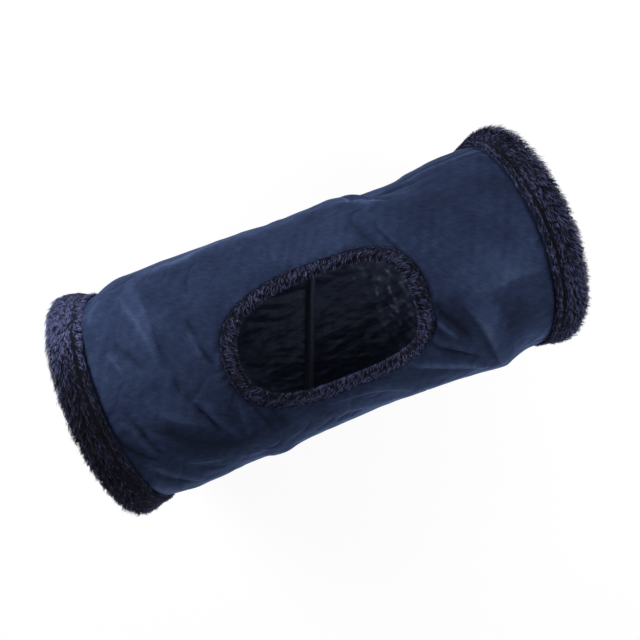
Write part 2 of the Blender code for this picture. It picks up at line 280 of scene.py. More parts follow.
def smooth_step(value, start, end):
    share = np.clip((value - start) / (end - start), 0, 1)
    return share * share * (3 - 2 * share)


print(f"flat cloth {2 * CLOTH_END:.3f} by {2 * HALF_ROUND:.3f} m")

# %% [markdown]
# The spring touches the cloth along a helix, and the end hoops touch it along two circles. Cloth
# spans from one to the next like a slack drum skin: full radius at the wire, a little less between.
# A parabola gives that curve, and its slope at the wire leaves the slanting ridge that the
# photograph shows on both sides of the opening.

# %% Where the wire holds the cloth
COIL_PITCH = 0.2505
COIL_LEAN = 0.0066
CLOTH_SAG = 0.005
RIDGE_ROUNDING = 0.0016


def helix_x(angle):
    return COIL_PITCH * (angle / TAU - 3 / 4) + COIL_LEAN * np.cos(angle)


def wire_places(across):
    """Every place along the tunnel where the helix passes this line of the cloth."""
    angle = TAU / 4 - across / COVER_RADIUS
    return [helix_x(angle) + turn * COIL_PITCH for turn in (-1, 0, 1, 2)]


def held_cloth(x, across):
    """The cover's radius, and how far the nearest wire or hoop is."""
    before = np.full_like(x, -HOOP_PLACE)
    after = np.full_like(x, HOOP_PLACE)
    for place in wire_places(across):
        real = np.abs(place) < HOOP_PLACE
        before = np.where(real & (place <= x), np.maximum(before, place), before)
        after = np.where(real & (place > x), np.minimum(after, place), after)
    span = after - before
    nearest = np.clip(np.minimum(x - before, after - x), 0, None)
    share = np.clip((x - before) / span, 0, 1)
    drop = 4 * share * (1 - share) * nearest / (nearest + RIDGE_ROUNDING)
    return COVER_RADIUS - CLOTH_SAG * (span / COIL_PITCH) ** 2 * drop, nearest


print(f"cloth sags {CLOTH_SAG * 1000:.0f} mm between two turns of the wire")

# %% [markdown]
# The opening is an oval with fuller corners than an ellipse, which is called a superellipse, and
# its right half is the squarer one. One formula serves twice here: it says where the edge is, for
# cutting the hole and laying the fur, and how far any place on the cloth is from that edge, for
# calming folds where the fur is sewn on.

# %% The opening's outline
OPENING_HALVES = (0.0893, 0.0590)
OPENING_CENTRE = (-0.0024, -0.0022)
OPENING_TURN = math.radians(-1.5)
LEFT_SQUARENESS = 2.4
RIGHT_SQUARENESS = 3.2


def opening_outline(share, reach):
    """A place this share of the way round the opening, reach outside its edge."""
    turn = TAU * share
    cosine, sine = np.cos(turn), np.sin(turn)
    power = 2 / np.where(cosine > 0, RIGHT_SQUARENESS, LEFT_SQUARENESS)
    along = (OPENING_HALVES[0] + reach) * np.sign(cosine) * np.abs(cosine) ** power
    across = (OPENING_HALVES[1] + reach) * np.sign(sine) * np.abs(sine) ** power
    cosine, sine = math.cos(OPENING_TURN), math.sin(OPENING_TURN)
    x = along * cosine - across * sine + OPENING_CENTRE[0]
    return x, along * sine + across * cosine + OPENING_CENTRE[1]


def opening_level(x, across):
    """1 on the opening's edge, less inside it and more outside."""
    cosine, sine = math.cos(OPENING_TURN), math.sin(OPENING_TURN)
    x, across = x - OPENING_CENTRE[0], across - OPENING_CENTRE[1]
    along, aside = x * cosine + across * sine, across * cosine - x * sine
    power = np.where(along > 0, RIGHT_SQUARENESS, LEFT_SQUARENESS)
    shares = np.abs(along / OPENING_HALVES[0]) ** power + np.abs(aside / OPENING_HALVES[1]) ** power
    return np.maximum(shares, 1e-9) ** (1 / power)


def past_opening(x, across):
    """About how far outside the opening's edge a place is, in metres."""
    from_centre = np.hypot(x - OPENING_CENTRE[0], across - OPENING_CENTRE[1])
    return from_centre * (1 - 1 / opening_level(x, across))


print(f"opening {2 * OPENING_HALVES[0]:.3f} by {2 * OPENING_HALVES[1]:.3f} m")

# %% [markdown]
# Cloth is never smooth between its seams. Its slow waves come from adding a dozen plain waves with
# random lengths and directions, which gives hills with no grid in them. Bending that sum back on
# itself like a zigzag turns the hills into sharp creases. A fixed seed draws the same cloth on
# every run.

# %% Random waves and creases
WAVE_COUNT = 14


def random_waves(x, across, length, seed, stretch=1.0):
    """Smooth random hills of about this length, from -1 to 1 for most of them."""
    draw = np.random.default_rng(seed)
    turns, shifts = draw.uniform(0, TAU, WAVE_COUNT), draw.uniform(0, TAU, WAVE_COUNT)
    total = np.zeros_like(x)
    for turn, shift, size in zip(turns, shifts, draw.uniform(0.7, 1.4, WAVE_COUNT)):
        phase = x * math.cos(turn) / stretch + across * math.sin(turn)
        total += np.cos(TAU * size * phase / length + shift)
    return total / math.sqrt(2 * WAVE_COUNT)


def zigzag(value):
    """Folds a value back and forth between 0 and 1 with sharp turns."""
    return np.abs((value % 2) - 1)


print("wave helpers ready")

# %% [markdown]
# The larger folds are where the cloth is pulled: a fan of them runs from the opening's lower right to
# the wire, others slant away from the left band, and two long creases lie near the far side. A cloth
# simulation would put folds somewhere else on each change of its settings, so these are laid one by
# one along the lines seen in the photograph, as a dressmaker pins pleats. Each has a height, a width
# on either side of its crest, and fades out towards both ends of its route.

# %% Routes of the folds
FOLDS = [
    # height, width on the right and on the left, route on the flat cloth, all in millimetres
    (1.9, 13.0, 2.0, [(-163, 138), (-159, 115), (-154, 92), (-152, 60), (-151, 32)]),
    (-1.7, 1.6, 3.5, [(-151, 62), (-150, 44), (-149, 24)]),
    (-2.0, 2.0, 3.0, [(-148, 11), (-147, 1), (-147, -9)]),
    (-2.2, 2.0, 4.0, [(-145, -7), (-139, -22), (-133, -38), (-128, -56)]),
    (1.5, 1.8, 3.0, [(-139, -14), (-131, -30), (-125, -50)]),
    (2.0, 3.0, 3.5, [(-177, 116), (-169, 92), (-162, 72), (-157, 45), (-155, 10)]),
    (-1.9, 1.8, 3.0, [(-189, 63), (-182, 51), (-175, 41), (-169, 27)]),
    (2.0, 2.0, 3.0, [(-196, 56), (-191, 42), (-187, 28)]),
    (-1.7, 1.2, 2.4, [(-119, 60), (-117, 48), (-114, 35)]),
    (-2.4, 1.2, 2.4, [(-117, 31), (-113, 20), (-109, 8)]),
    (1.8, 1.6, 2.0, [(-121, 46), (-119, 33), (-115, 18)]),
    (1.9, 4.5, 6.0, [(-181, 5), (-171, -14), (-159, -27), (-146, -39), (-132, -49)]),
    (-1.8, 5.0, 7.0, [(-192, -20), (-173, -37), (-155, -58), (-135, -72), (-115, -82)]),
    (1.6, 2.2, 4.0, [(-193, -12), (-186, -30), (-179, -41), (-170, -50)]),
    (1.2, 2.0, 4.0, [(-206, -6), (-199, -25), (-196, -43), (-190, -58)]),
    (-2.2, 2.0, 3.5, [(-200, 0), (-193, -24), (-190, -46), (-183, -60)]),
    (-3.0, 2.5, 4.0, [(-219, -16), (-211, -36), (-203, -50), (-192, -62)]),
    (3.6, 1.6, 2.6, [(-206, -62), (-195, -78), (-186, -92), (-177, -107), (-170, -120)]),
    (1.8, 2.5, 5.0, [(-180, -62), (-170, -77), (-153, -88), (-136, -97)]),
    (-1.0, 3.0, 6.0, [(-168, -88), (-155, -104), (-138, -116)]),
    (5.0, 2.5, 4.0, [(-218, -86), (-207, -107), (-194, -125)]),
    (2.0, 2.0, 4.0, [(-131, -20), (-127, -44), (-121, -58), (-114, -76)]),
    (-2.0, 1.6, 3.0, [(-94, -34), (-90, -54), (-87, -70), (-84, -88)]),
    (1.8, 1.8, 2.6, [(-102, -34), (-105, -54), (-107, -76)]),
    (-1.8, 2.5, 4.0, [(-79, -52), (-76, -70), (-69, -86)]),
    (5.2, 2.2, 1.6, [(56, -67), (74, -79), (94, -91), (112, -102), (129, -114), (145, -128)]),
    (-2.6, 4.0, 6.0, [(80, -50), (96, -69), (113, -83), (133, -101)]),
    (2.6, 1.6, 3.0, [(83, -40), (91, -56), (107, -70), (124, -87), (137, -99)]),
    (-2.8, 2.0, 4.5, [(99, -12), (103, -30), (111, -43), (119, -57), (127, -70)]),
    (4.0, 2.8, 1.8, [(92, -28), (102, -45), (113, -62)]),
    (2.6, 1.2, 12.0, [(122, -20), (131, -42), (139, -62), (149, -98), (160, -134)]),
    (1.8, 2.0, 10.0, [(146, -26), (165, -23), (188, -22), (211, -26)]),
    (-0.9, 3.0, 6.0, [(158, -28), (162, -60), (172, -96)]),
    (1.5, 2.0, 4.0, [(182, -92), (198, -104), (212, -122)]),
    (1.8, 2.0, 4.0, [(190, -122), (202, -108), (212, -96)]),
    (2.0, 2.0, 5.0, [(-30, -80), (0, -84), (22, -90), (42, -102), (60, -118)]),
    (-1.9, 3.0, 5.0, [(59, 102), (62, 85), (66, 70), (72, 60)]),
    (-1.8, 1.0, 1.4, [(77, 84), (81, 66), (86, 48), (90, 30), (93, 6)]),
    (1.3, 1.2, 1.3, [(80, 82), (84, 66), (89, 50), (93, 32), (96, 6)]),
    (5.0, 2.5, 4.0, [(71, 137), (80, 122), (90, 105)]),
    (-1.4, 2.0, 3.0, [(86, 128), (95, 118), (105, 104)]),
    (3.6, 1.8, 4.0, [(100, 131), (130, 133), (165, 133), (218, 128)]),
    (-2.4, 3.0, 6.0, [(108, 143), (150, 144), (218, 140)]),
    (-1.2, 3.0, 6.0, [(98, 124), (125, 124), (160, 123)]),
    (3.0, 3.0, 7.0, [(-150, 143), (-112, 134), (-80, 143), (-40, 151)]),
    (-0.8, 4.0, 8.0, [(-150, 128), (-112, 120), (-78, 130)]),
    (1.6, 3.0, 4.0, [(-208, 90), (-202, 108), (-194, 124)]),
]
print(len(FOLDS), "folds laid by hand")

# %% [markdown]
# A fold rises wherever the cloth lies close to its route. The route's few points are joined by a
# smooth curve first, and the curve is cut into short straight runs. The distance from every place on
# the cloth to one run is quick to work out with arrays, and its sign says on which side of the crest
# a place lies, so a fold can be steep on one side and gentle on the other.

# %% Raising the folds
ROUTE_STEPS = 6
CREST_ROUNDING = 0.0005


def smooth_route(points):
    """A Catmull-Rom curve, which passes through every point that it is given."""
    points = np.array(points, float)
    ends = [2 * points[0] - points[1], *points, 2 * points[-1] - points[-2]]
    route = [points[0]]
    for a, b, c, d in zip(ends, ends[1:], ends[2:], ends[3:]):
        for step in range(1, ROUTE_STEPS + 1):
            t = step / ROUTE_STEPS
            bend = 2 * b + (c - a) * t + (2 * a - 5 * b + 4 * c - d) * t**2
            bend = bend + (3 * b - a - 3 * c + d) * t**3
            route.append(bend / 2)
    return np.array(route)


def beside_route(x, across, route):
    """Each place's distance from a route, below zero on its right, and its share of the way along."""
    nearest = np.full(x.shape, np.inf)
    share = np.zeros_like(x)
    side = np.ones_like(x)
    for number, (start, end) in enumerate(zip(route, route[1:])):
        run = end - start
        dx, dy = x - start[0], across - start[1]
        along = np.clip((dx * run[0] + dy * run[1]) / (run @ run), 0, 1)
        away = np.hypot(dx - along * run[0], dy - along * run[1])
        closer = away < nearest
        nearest = np.where(closer, away, nearest)
        share = np.where(closer, (number + along) / (len(route) - 1), share)
        side = np.where(closer, np.where(run[0] * dy - run[1] * dx >= 0, 1, -1), side)
    return nearest * side, share


def laid_folds(x, across):
    total = np.zeros_like(x)
    for height, right_width, left_width, points in FOLDS:
        distance, share = beside_route(x, across, smooth_route(points) / 1000)
        width = np.where(distance > 0, left_width, right_width) / 1000
        crest = np.sqrt(distance**2 + CREST_ROUNDING**2) - CREST_ROUNDING
        fade = np.sin(TAU / 2 * np.clip(share, 0.001, 0.999)) ** 0.6
        total += height / 1000 * np.exp(-crest / width) * fade
    return total


sample = laid_folds(*flat_cloth(0.010))
print(f"folds from {sample.min() * 1000:.1f} to {sample.max() * 1000:.1f} mm")

# %% [markdown]
# The tube does not keep one radius. Its far side, at the top of the picture, is full on the left
# and caves in behind the right-hand wire, and its near side bulges where each wire comes round. The
# amounts are read off the photograph's outline and joined by the same smooth curve as the folds.

# %% Fullness of the two sides
FAR_FULLNESS = [
    # place along the tunnel, how much fuller than plain cloth, both in millimetres
    (-222, -5), (-215, -5), (-209, -4.5), (-202, -2), (-194, 1), (-183, 3.5), (-160, 4),
    (-140, 6), (-100, 6.5), (-50, 6.5), (-25, 4.5), (20, 2.5), (55, 1.5), (68, -1),
    (80, -5.5), (130, -5.5), (150, -2), (185, 1.5), (215, 0),
]
NEAR_FULLNESS = [
    (-215, 0.5), (-190, 4), (-165, 3.5), (-115, 2), (-97, 5), (-84, 5.5), (-68, 2), (-40, 1.5),
    (0, 3), (60, 5), (105, 5), (140, 7), (166, 9.5), (178, 6), (195, 1.5), (215, 0),
]
FAR_START, NEAR_START = 0.085, -0.065  # where on the flat cloth each side begins to swell
SIDE_FULL = 0.145
SIDE_FADE = (0.200, 0.270)


def fullness(x, across):
    """The hanging sides bulge and cave in by a few millimetres, most of all at the outline."""
    total = np.zeros_like(x)
    for places, start in ((FAR_FULLNESS, FAR_START), (NEAR_FULLNESS, NEAR_START)):
        curve = smooth_route(places) / 1000
        aside = across * math.copysign(1, start)
        window = smooth_step(aside, abs(start), SIDE_FULL) * (1 - smooth_step(aside, *SIDE_FADE))
        total += np.interp(x, curve[:, 0], curve[:, 1]) * window
    return total * smooth_step(BAND_START - np.abs(x), -0.012, -0.003)


amounts = [amount for place, amount in FAR_FULLNESS + NEAR_FULLNESS]
print("sides from", min(amounts), "to", max(amounts), "mm fuller than plain cloth")

# %% [markdown]
# The finer shape is a sum: the laid folds, slow waves, small creases where the cloth was bent in
# its bag, and the puckers that a sewing machine leaves along the bands. All of it fades to nothing
# under the fur, where the layers are sewn flat.

# %% Shape of the cloth
WAVES = ((0.0009, 0.075, 11, 1.5), (0.0003, 0.024, 12, 1.0))  # height, length, seed, stretch
CREASES = (
    # depth, length, seed, stretch, width as a share of a wave's height
    (0.0012, 0.055, 13, 0.8, 0.09),
    (0.0005, 0.030, 15, 1.0, 0.12),
)
PUCKER_HEIGHT = 0.0007
PUCKER_REACH = 0.016
GATHER_COUNT = 54
GATHER_HEIGHT = 0.0004
GATHER_REACH = 0.007
PINCH_DEPTH = 0.0010
PINCH_REACH = 0.0018
WIRE_ROOM = 0.0012  # the cloth can't sink further than this where the wire is behind it
FUR_REACH = 0.0107  # how far the opening's fur covers the cloth


def fading(distance, reach):
    """1 at no distance, fading to nearly 0 at twice this reach."""
    return np.exp(-((distance / reach) ** 2))


def past_seam(across):
    """0 beside the long seam underneath, 1 on free cloth."""
    return smooth_step(HALF_ROUND - np.abs(across), 0.002, 0.012)


def calm_at_seams(x, across):
    """0 where the cloth is sewn down, rising to 1 on free cloth."""
    ends = smooth_step(BAND_START - np.abs(x), -0.004, 0.006)
    trim = smooth_step(past_opening(x, across), 0.75 * FUR_REACH, 1.25 * FUR_REACH)
    return ends * trim * past_seam(across)


def cloth_relief(x, across):
    """How far folds, waves, creases and puckers lift the cloth from its plain shape."""
    relief = laid_folds(x, across)
    for height, length, seed, stretch in WAVES:
        relief += height * random_waves(x, across, length, seed, stretch=stretch)
    more_on_left = 0.6 * np.clip(x, -0.2, 0.2) / 0.2
    patches = smooth_step(random_waves(x, across, 0.09, 14) - more_on_left, 0.1, 0.8)
    for depth, length, seed, stretch, width in CREASES:
        bent = np.abs(random_waves(x, across, length, seed, stretch=stretch))
        relief -= depth * patches * np.exp(-bent / width)
    puckers = random_waves(across, x * 0.3, 0.012, 16)
    relief += PUCKER_HEIGHT * puckers * np.exp((np.abs(x) - BAND_START) / PUCKER_REACH)
    bent = 2 * random_waves(x, across, 0.05, 17)
    gathers = np.cos(GATHER_COUNT * np.arctan2(across, x) + bent)
    past_fur = past_opening(x, across) - FUR_REACH
    relief += GATHER_HEIGHT * gathers * np.exp(-np.clip(past_fur, 0, 1) / GATHER_REACH)
    relief *= calm_at_seams(x, across)
    relief += fullness(x, across) * past_seam(across)
    pinch = fading(BAND_START - np.abs(x), PINCH_REACH) + fading(past_fur, PINCH_REACH)
    wire = held_cloth(x, across)[1]
    return np.maximum(relief - PINCH_DEPTH * pinch, -WIRE_ROOM - wire)


sample = cloth_relief(*flat_cloth(0.010))
print(f"relief from {sample.min() * 1000:.1f} to {sample.max() * 1000:.1f} mm")

# %% [markdown]
# Every piece below is a grid of points turned into a mesh: sheets are open grids, and rings, wires
# and bands are grids that close on themselves one way or both. A texture map that holds each
# point's place on the flat cloth lets the finish follow the cloth when the tunnel folds up.

# %% From grids of points to pieces
def new_piece(name, points, faces, finish):
    """A smooth piece. Faces are a list, or an array, of rows of corner numbers."""
    mesh = bpy.data.meshes.new(name)
    faces = faces if isinstance(faces, list) else faces.tolist()
    mesh.from_pydata(np.reshape(points, (-1, 3)).tolist(), [], faces)
    mesh.materials.append(finishes[finish])
    mesh.shade_smooth()
    piece = bpy.data.objects.new(name, mesh)
    bpy.context.scene.collection.objects.link(piece)
    return piece


def grid_faces(rows, columns, close_rows=False, close_columns=False):
    """Four-sided faces between neighbouring points of a grid, as an array of corner numbers."""
    number = np.arange(rows * columns).reshape(rows, columns)
    if close_rows:
        number = np.vstack([number, number[:1]])
    if close_columns:
        number = np.hstack([number, number[:, :1]])
    corners = [number[:-1, :-1], number[1:, :-1], number[1:, 1:], number[:-1, 1:]]
    return np.stack(corners, axis=-1).reshape(-1, 4)


def lay_map(piece, x, across):
    """Stores each point's place on the flat cloth, in metres, as the piece's texture map."""
    places = np.stack([x.ravel(), across.ravel()], axis=-1).astype(np.float32)
    layer = piece.data.uv_layers.new(name="cloth")
    corner_points = np.zeros(len(piece.data.loops), np.int32)
    piece.data.loops.foreach_get("vertex_index", corner_points)
    layer.data.foreach_set("uv", places[corner_points].ravel())


def cloth_layer(name, step, radius_of, finish, evenness=1.0):
    """A sheet rolled round the tunnel, with the opening cut cleanly out of it."""
    x, across = flat_cloth(step, evenness)
    level = opening_level(x, across)
    faces = grid_faces(*x.shape)
    x, across, level = x.ravel(), across.ravel(), level.ravel()
    faces = faces[(level[faces] > 1).any(axis=1)]
    used, faces = np.unique(faces, return_inverse=True)
    faces = faces.reshape(-1, 4)
    x, across, level = x[used], across[used], np.minimum(level[used], 1)
    for place, centre in zip((x, across), OPENING_CENTRE):
        place += (place - centre) * (1 / level - 1)  # corners inside the hole move out to its edge
    piece = new_piece(name, rolled(x, across, radius_of(x, across)), faces, finish)
    lay_map(piece, x, across)
    print(f"{name}: {len(faces)} faces")
    return piece, x, across


print("piece helpers ready")

# %% [markdown]
# The cover is faux suede: a knitted polyester cloth with a very short nap. Nap lies in brushed patches
# that are a shade lighter or darker, and it catches light where the cloth turns away from the eye. The
# finish mixes four tones of navy by slow and by fine noise and by a value stored on each point, which
# holds those patches together with painted light and shade, and its lightest tone is a painted
# highlight. It adds a trace of fine bump, and takes some sheen for the bright rim.

# %% Suede finish
SUEDE_DARK = (0.0138, 0.0177, 0.0365)
SUEDE_MIDDLE = (0.0230, 0.0345, 0.0775)
SUEDE_LIGHT = (0.0400, 0.0590, 0.1260)
# the lightest tone is a painted highlight
SUEDE_PAINTED_HIGHLIGHT = (0.085, 0.118, 0.215)
SUEDE_SHEEN = {"Sheen_Weight": 0.60, "Sheen_Roughness": 0.30, "Sheen_Tint": (0.37, 0.52, 1.0, 1)}


def cloth_place(tree):
    return add_node(tree, "UVMap", uv_map="cloth").outputs[0]


tree, shader = new_finish("navy_suede", Roughness=1.0, Specular_IOR_Level=0.0, **SUEDE_SHEEN)
place = cloth_place(tree)
# the stored value carries the nap's patches together with painted light and shade
nap_and_light = add_node(tree, "Attribute", attribute_name="nap_and_light").outputs["Fac"]
clouds = add_noise(tree, place, 60, 4)
brushed = add_noise(tree, place, 330, 3, (0.45, 1, 1), math.radians(35))
grain = add_noise(tree, place, 850, 3)
tone = add_sum(tree, (clouds, 0.14), (brushed, 0.26), (grain, 0.36), (nap_and_light, 0.16))
# The lightest stop is reached only where painted light lifts the stored value.
shades = ((0.18, SUEDE_DARK), (0.38, SUEDE_MIDDLE), (0.58, SUEDE_LIGHT), (0.82, SUEDE_PAINTED_HIGHLIGHT))
add_colours(tree, shader, tone, *shades)
add_bump(tree, shader, add_sum(tree, (grain, 0.6), (brushed, 0.5)), 0.0005)
print("suede mixed")

# %% [markdown]
# The value stored on each point of the cloth is a shade that the finish above reads. It holds slow
# random patches of nap, fold crests painted lighter and valleys painted darker as painted highlight
# and shade, a thin painted shadow along the seams, and listed patches: darker on the left's near side
# and beside the opening, lighter on top of the right half, and painted highlights along both outlines.

# %% Nap and painted light on the cover
LIGHTER_AND_DARKER_PATCHES = [
    # place on the flat cloth, reach along and across, lighter or darker
    ((-0.128, -0.064), (0.056, 0.026), -0.75),
    ((-0.172, -0.036), (0.014, 0.012), -0.6),
    ((-0.116, -0.030), (0.016, 0.024), -0.5),
    ((-0.080, -0.072), (0.030, 0.020), -0.15),
    ((0.000, -0.074), (0.060, 0.012), -0.5),
    ((0.112, -0.040), (0.020, 0.034), -0.65),
    ((0.184, -0.056), (0.036, 0.032), -0.26),
    ((0.146, -0.048), (0.009, 0.040), 0.4),
    ((0.165, -0.006), (0.050, 0.022), 0.6),
    ((0.030, 0.092), (0.060, 0.022), 0.5),
    ((-0.195, 0.060), (0.030, 0.060), 0.4),
    ((0.160, 0.075), (0.060, 0.022), -0.3),
    # the rest are painted highlights: along the near outline, on a fold's crest and along the far
    # outline
    ((-0.185, -0.128), (0.045, 0.022), 0.8),
    ((-0.206, -0.106), (0.009, 0.018), 1.0),
    ((0.195, -0.120), (0.035, 0.022), 0.9),
    ((0.000, -0.118), (0.080, 0.020), 0.7),
    ((-0.118, 0.140), (0.036, 0.008), 0.8),
    ((-0.060, 0.148), (0.040, 0.007), 0.8),
]
# a thin painted shadow along the seams of the end bands and of the opening's fur
PAINTED_SEAM_SHADOW = 1.8
SEAM_REACH = 0.0010
PAINTED_FOLD_SHADE = 580.0  # fold crests are painted lighter and valleys darker, painted highlight and shade, for each metre of height


def nap_and_painted_light(x, across):
    nap_and_light = 0.25 * random_waves(x, across, 0.045, 18) + 0.20 * random_waves(x, across, 0.013, 19)
    # fold crests painted lighter and valleys painted darker: painted highlight and painted shade
    nap_and_light += np.clip(PAINTED_FOLD_SHADE * laid_folds(x, across), -1.8, 2.0)
    for (place_x, place_across), (reach_x, reach_across), amount in LIGHTER_AND_DARKER_PATCHES:
        away = ((x - place_x) / reach_x) ** 2 + ((across - place_across) / reach_across) ** 2
        nap_and_light += amount * np.exp(-(away**2))
    # painted shadow along each seam
    for gap in (BAND_START - np.abs(x), past_opening(x, across) - FUR_REACH):
        nap_and_light -= PAINTED_SEAM_SHADOW * fading(gap, SEAM_REACH)
    return nap_and_light


def store_value(piece, name, values):
    layer = piece.data.attributes.new(name, "FLOAT", "POINT")
    layer.data.foreach_set("value", values.astype(np.float32))


# the listed patches are painted lighter or darker, some of them as painted highlights
print(len(LIGHTER_AND_DARKER_PATCHES), "patches of nap")

# %% [markdown]
# The cover itself is cut as a rectangle with one oval hole, rolled up, and sewn along its two long
# edges underneath. Thickness would not show, so it is a single surface. Its points are a millimetre
# and a half apart on top, fine enough for the folds to be real shape, and further apart underneath.

# %% Cover
COVER_STEP = 0.00155


def fold_up(piece, body):
    """Fixes a soft piece to a body and gives it a mesh of its own."""
    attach(piece, body)
    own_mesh(piece)


def ride_tube(piece, stands_for):
    fold_up(piece, "left_end")
    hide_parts(stands_for)


def cover_radius(x, across):
    return held_cloth(x, across)[0] + cloth_relief(x, across)


cover, cover_x, cover_across = cloth_layer("suede_cover", COVER_STEP, cover_radius, "navy_suede", 0.7)
store_value(cover, "nap_and_light", nap_and_painted_light(cover_x, cover_across))
ride_tube(cover, "cover")

# %% [markdown]
# Under the cover lies a thin plastic film that rustles when a cat treads on it. It never shows, yet
# it has its own place between cover and lining, so it follows the cover's shape a little further in.
# A grid as fine as the lining's keeps it from cutting corners through the cover's folds. Its
# crumpled gloss is plain noise, fed to the tone and to the bump alike. Most of the plainer finishes
# below are made that way, so one helper mixes them all.

# %% Crinkle film
FILM_DEPTH = 0.0012
INNER_STEP = 0.0022
FILM_TONES = ((0.3, (0.48, 0.49, 0.52)), (0.7, (0.62, 0.63, 0.65)))


def two_tone(name, tones, bump, wave=None, noise=None, on_cloth=False, **settings):
    """Two tones mixed by a wave, by noise or by half of each, with a bump of the same pattern."""
    tree, shader = new_finish(name, **settings)
    place = cloth_place(tree) if on_cloth else add_node(tree, "TexCoord").outputs["Object"]
    patterns = []
    if wave:
        bands = [("Vector", place), ("Scale", wave[0])]
        patterns.append(add_node(tree, "TexWave", bands, bands_direction=wave[1]).outputs["Fac"])
    if noise:
        patterns.append(add_noise(tree, place, *noise))
    tone = add_sum(tree, *[(pattern, 1 / len(patterns)) for pattern in patterns])
    add_colours(tree, shader, tone, *tones)
    add_bump(tree, shader, tone, bump)


two_tone("clear_film", FILM_TONES, 0.003, noise=(90, 5), on_cloth=True, Roughness=0.25)
film = cloth_layer(
    "rustling_film", INNER_STEP, lambda x, across: cover_radius(x, across) - FILM_DEPTH, "clear_film"
)[0]
ride_tube(film, "crinkle_film")

# %% [markdown]
# The lining is near-black taffeta. The cloth is so dark that nearly all one sees of it is shine, so
# its roughness is what makes or breaks it. The finest of its creases are left to the bump, where
# cells drawn out long meet in sharp edges, like the sides of a shard.

# %% Taffeta finish
SHARDS = [
    # turn from the tunnel's direction, how many to the metre, share of the height
    (8, 50, 1.0),
    (-24, 95, 0.5),
    (75, 60, 0.5),
]
SHARD_STRETCH = (0.35, 1, 1)
TAFFETA_TONES = ((0.38, (0.009, 0.0105, 0.020)), (0.62, (0.016, 0.019, 0.034)))
TAFFETA_SHINE = {"Specular_IOR_Level": 0.52, "Specular_Tint": (0.50, 0.64, 1.0, 1)}

tree, shader = new_finish("crumpled_taffeta", Roughness=0.46, **TAFFETA_SHINE)
place = cloth_place(tree)
clouds = add_noise(tree, place, 60, 4)
add_colours(tree, shader, clouds, *TAFFETA_TONES)
creases = [(add_noise(tree, place, 170, 6, SHARD_STRETCH), 0.4)]
for turn, count, share in SHARDS:
    turned = drawn_out(tree, place, SHARD_STRETCH, math.radians(turn))
    cells = add_node(tree, "TexVoronoi", [("Vector", turned), ("Scale", count)])
    creases.append((cells.outputs["Distance"], share))
add_bump(tree, shader, add_sum(tree, *creases), 0.0028)
print("taffeta mixed with", len(creases), "kinds of crease")

# %% [markdown]
# The film behind the lining crumples it like paper. Its creases are sharp and mostly run along the
# tunnel, so zigzags in a few such directions are laid over each other, in two sizes, and pressed
# inwards. In two places it is bunched up crosswise as well. Where the spring's tape is sewn on, the
# lining lies smooth.

# %% Taffeta lining
LINING_DEPTH = 0.0021
CRUMPLE_SIZES = ((0.0150, 0.0012, 21), (0.0065, 0.0006, 31))  # size, depth, seed
CRUMPLE_TURNS = (7, -12, 24)  # degrees from the tunnel's direction
LOOSE_SIZE = 0.0105
LOOSE_TURNS = (86, 101, 70)
LOOSE_SEED = 41
LOOSE_PLACES = [
    # place on the flat cloth, reach along and across, height of the folds
    ((0.106, -0.335), (0.030, 0.052), 0.0028),
    ((-0.070, -0.310), (0.032, 0.045), 0.0014),
]


def crumpled(x, across, turns, size, seed):
    """Flat-sided creases like crumpled paper: the lowest of zigzags that cross each other."""
    lowest = np.ones_like(x)
    for number, turn in enumerate(turns):
        turn = math.radians(turn)
        run = (across * math.cos(turn) - x * math.sin(turn)) / size * (1 + 0.2 * number)
        run = run + 0.8 * random_waves(x, across, 6 * size, seed + number, stretch=2.0)
        lowest = np.minimum(lowest, zigzag(run))
    return lowest


def lining_radius(x, across):
    plain, wire = held_cloth(x, across)
    loose = smooth_step(wire, 0.006, 0.018) * smooth_step(past_opening(x, across), 0.006, 0.020)
    loose *= smooth_step(BAND_START - np.abs(x), -0.004, 0.012)
    loose *= smooth_step(HALF_ROUND - np.abs(across), 0.0, 0.008)
    crumple = np.zeros_like(x)
    for size, depth, seed in CRUMPLE_SIZES:
        crumple += depth * crumpled(x, across, CRUMPLE_TURNS, size, seed)
    loose_folds = crumpled(x, across, LOOSE_TURNS, LOOSE_SIZE, LOOSE_SEED)
    for (place_x, place_across), (reach_x, reach_across), height in LOOSE_PLACES:
        aside = np.abs(across - place_across)
        aside = np.minimum(aside, 2 * HALF_ROUND - aside)  # the seam's two edges are neighbours
        bunched = np.exp(-(((x - place_x) / reach_x) ** 2) - (aside / reach_across) ** 2)
        crumple += height * bunched * loose_folds
    return plain + cloth_relief(x, across) - LINING_DEPTH - loose * crumple


lining = cloth_layer("taffeta_lining", INNER_STEP, lining_radius, "crumpled_taffeta")[0]
ride_tube(lining, "lining")

# %% [markdown]
# Wire and thread are round and thin. Blender's curves could carry a round bevel, but folding the
# tunnel up needs a mesh, so a ring of points is swept along the path here. The helper needs the
# direction along the path and one across it at every step.

# %% Tubes swept along a path
def unit(vectors):
    return vectors / np.linalg.norm(vectors, axis=-1, keepdims=True)


def length_along(path):
    return float(np.linalg.norm(np.diff(path, axis=0), axis=1).sum())


def tube_along(path, outward, radii, sides):
    """Rings of points round a path. Outward points away from the tunnel's axis at each step."""
    forward = unit(np.gradient(path, axis=0))
    aside = unit(np.cross(forward, outward))
    upward = np.cross(aside, forward)
    turns = (np.arange(sides) * TAU / sides)[None, :, None]
    ring = np.cos(turns) * aside[:, None] + np.sin(turns) * upward[:, None]
    return path[:, None] + ring * np.reshape(radii, (-1, 1, 1))


def capped_faces(rows, sides, start=0):
    """The faces of one closed tube whose points begin at this number."""
    sleeve = (grid_faces(rows, sides, close_columns=True) + start).tolist()
    last = start + (rows - 1) * sides
    return sleeve + [list(range(start, start + sides))] + [list(range(last + sides - 1, last - 1, -1))]


print("sweeping helpers ready")

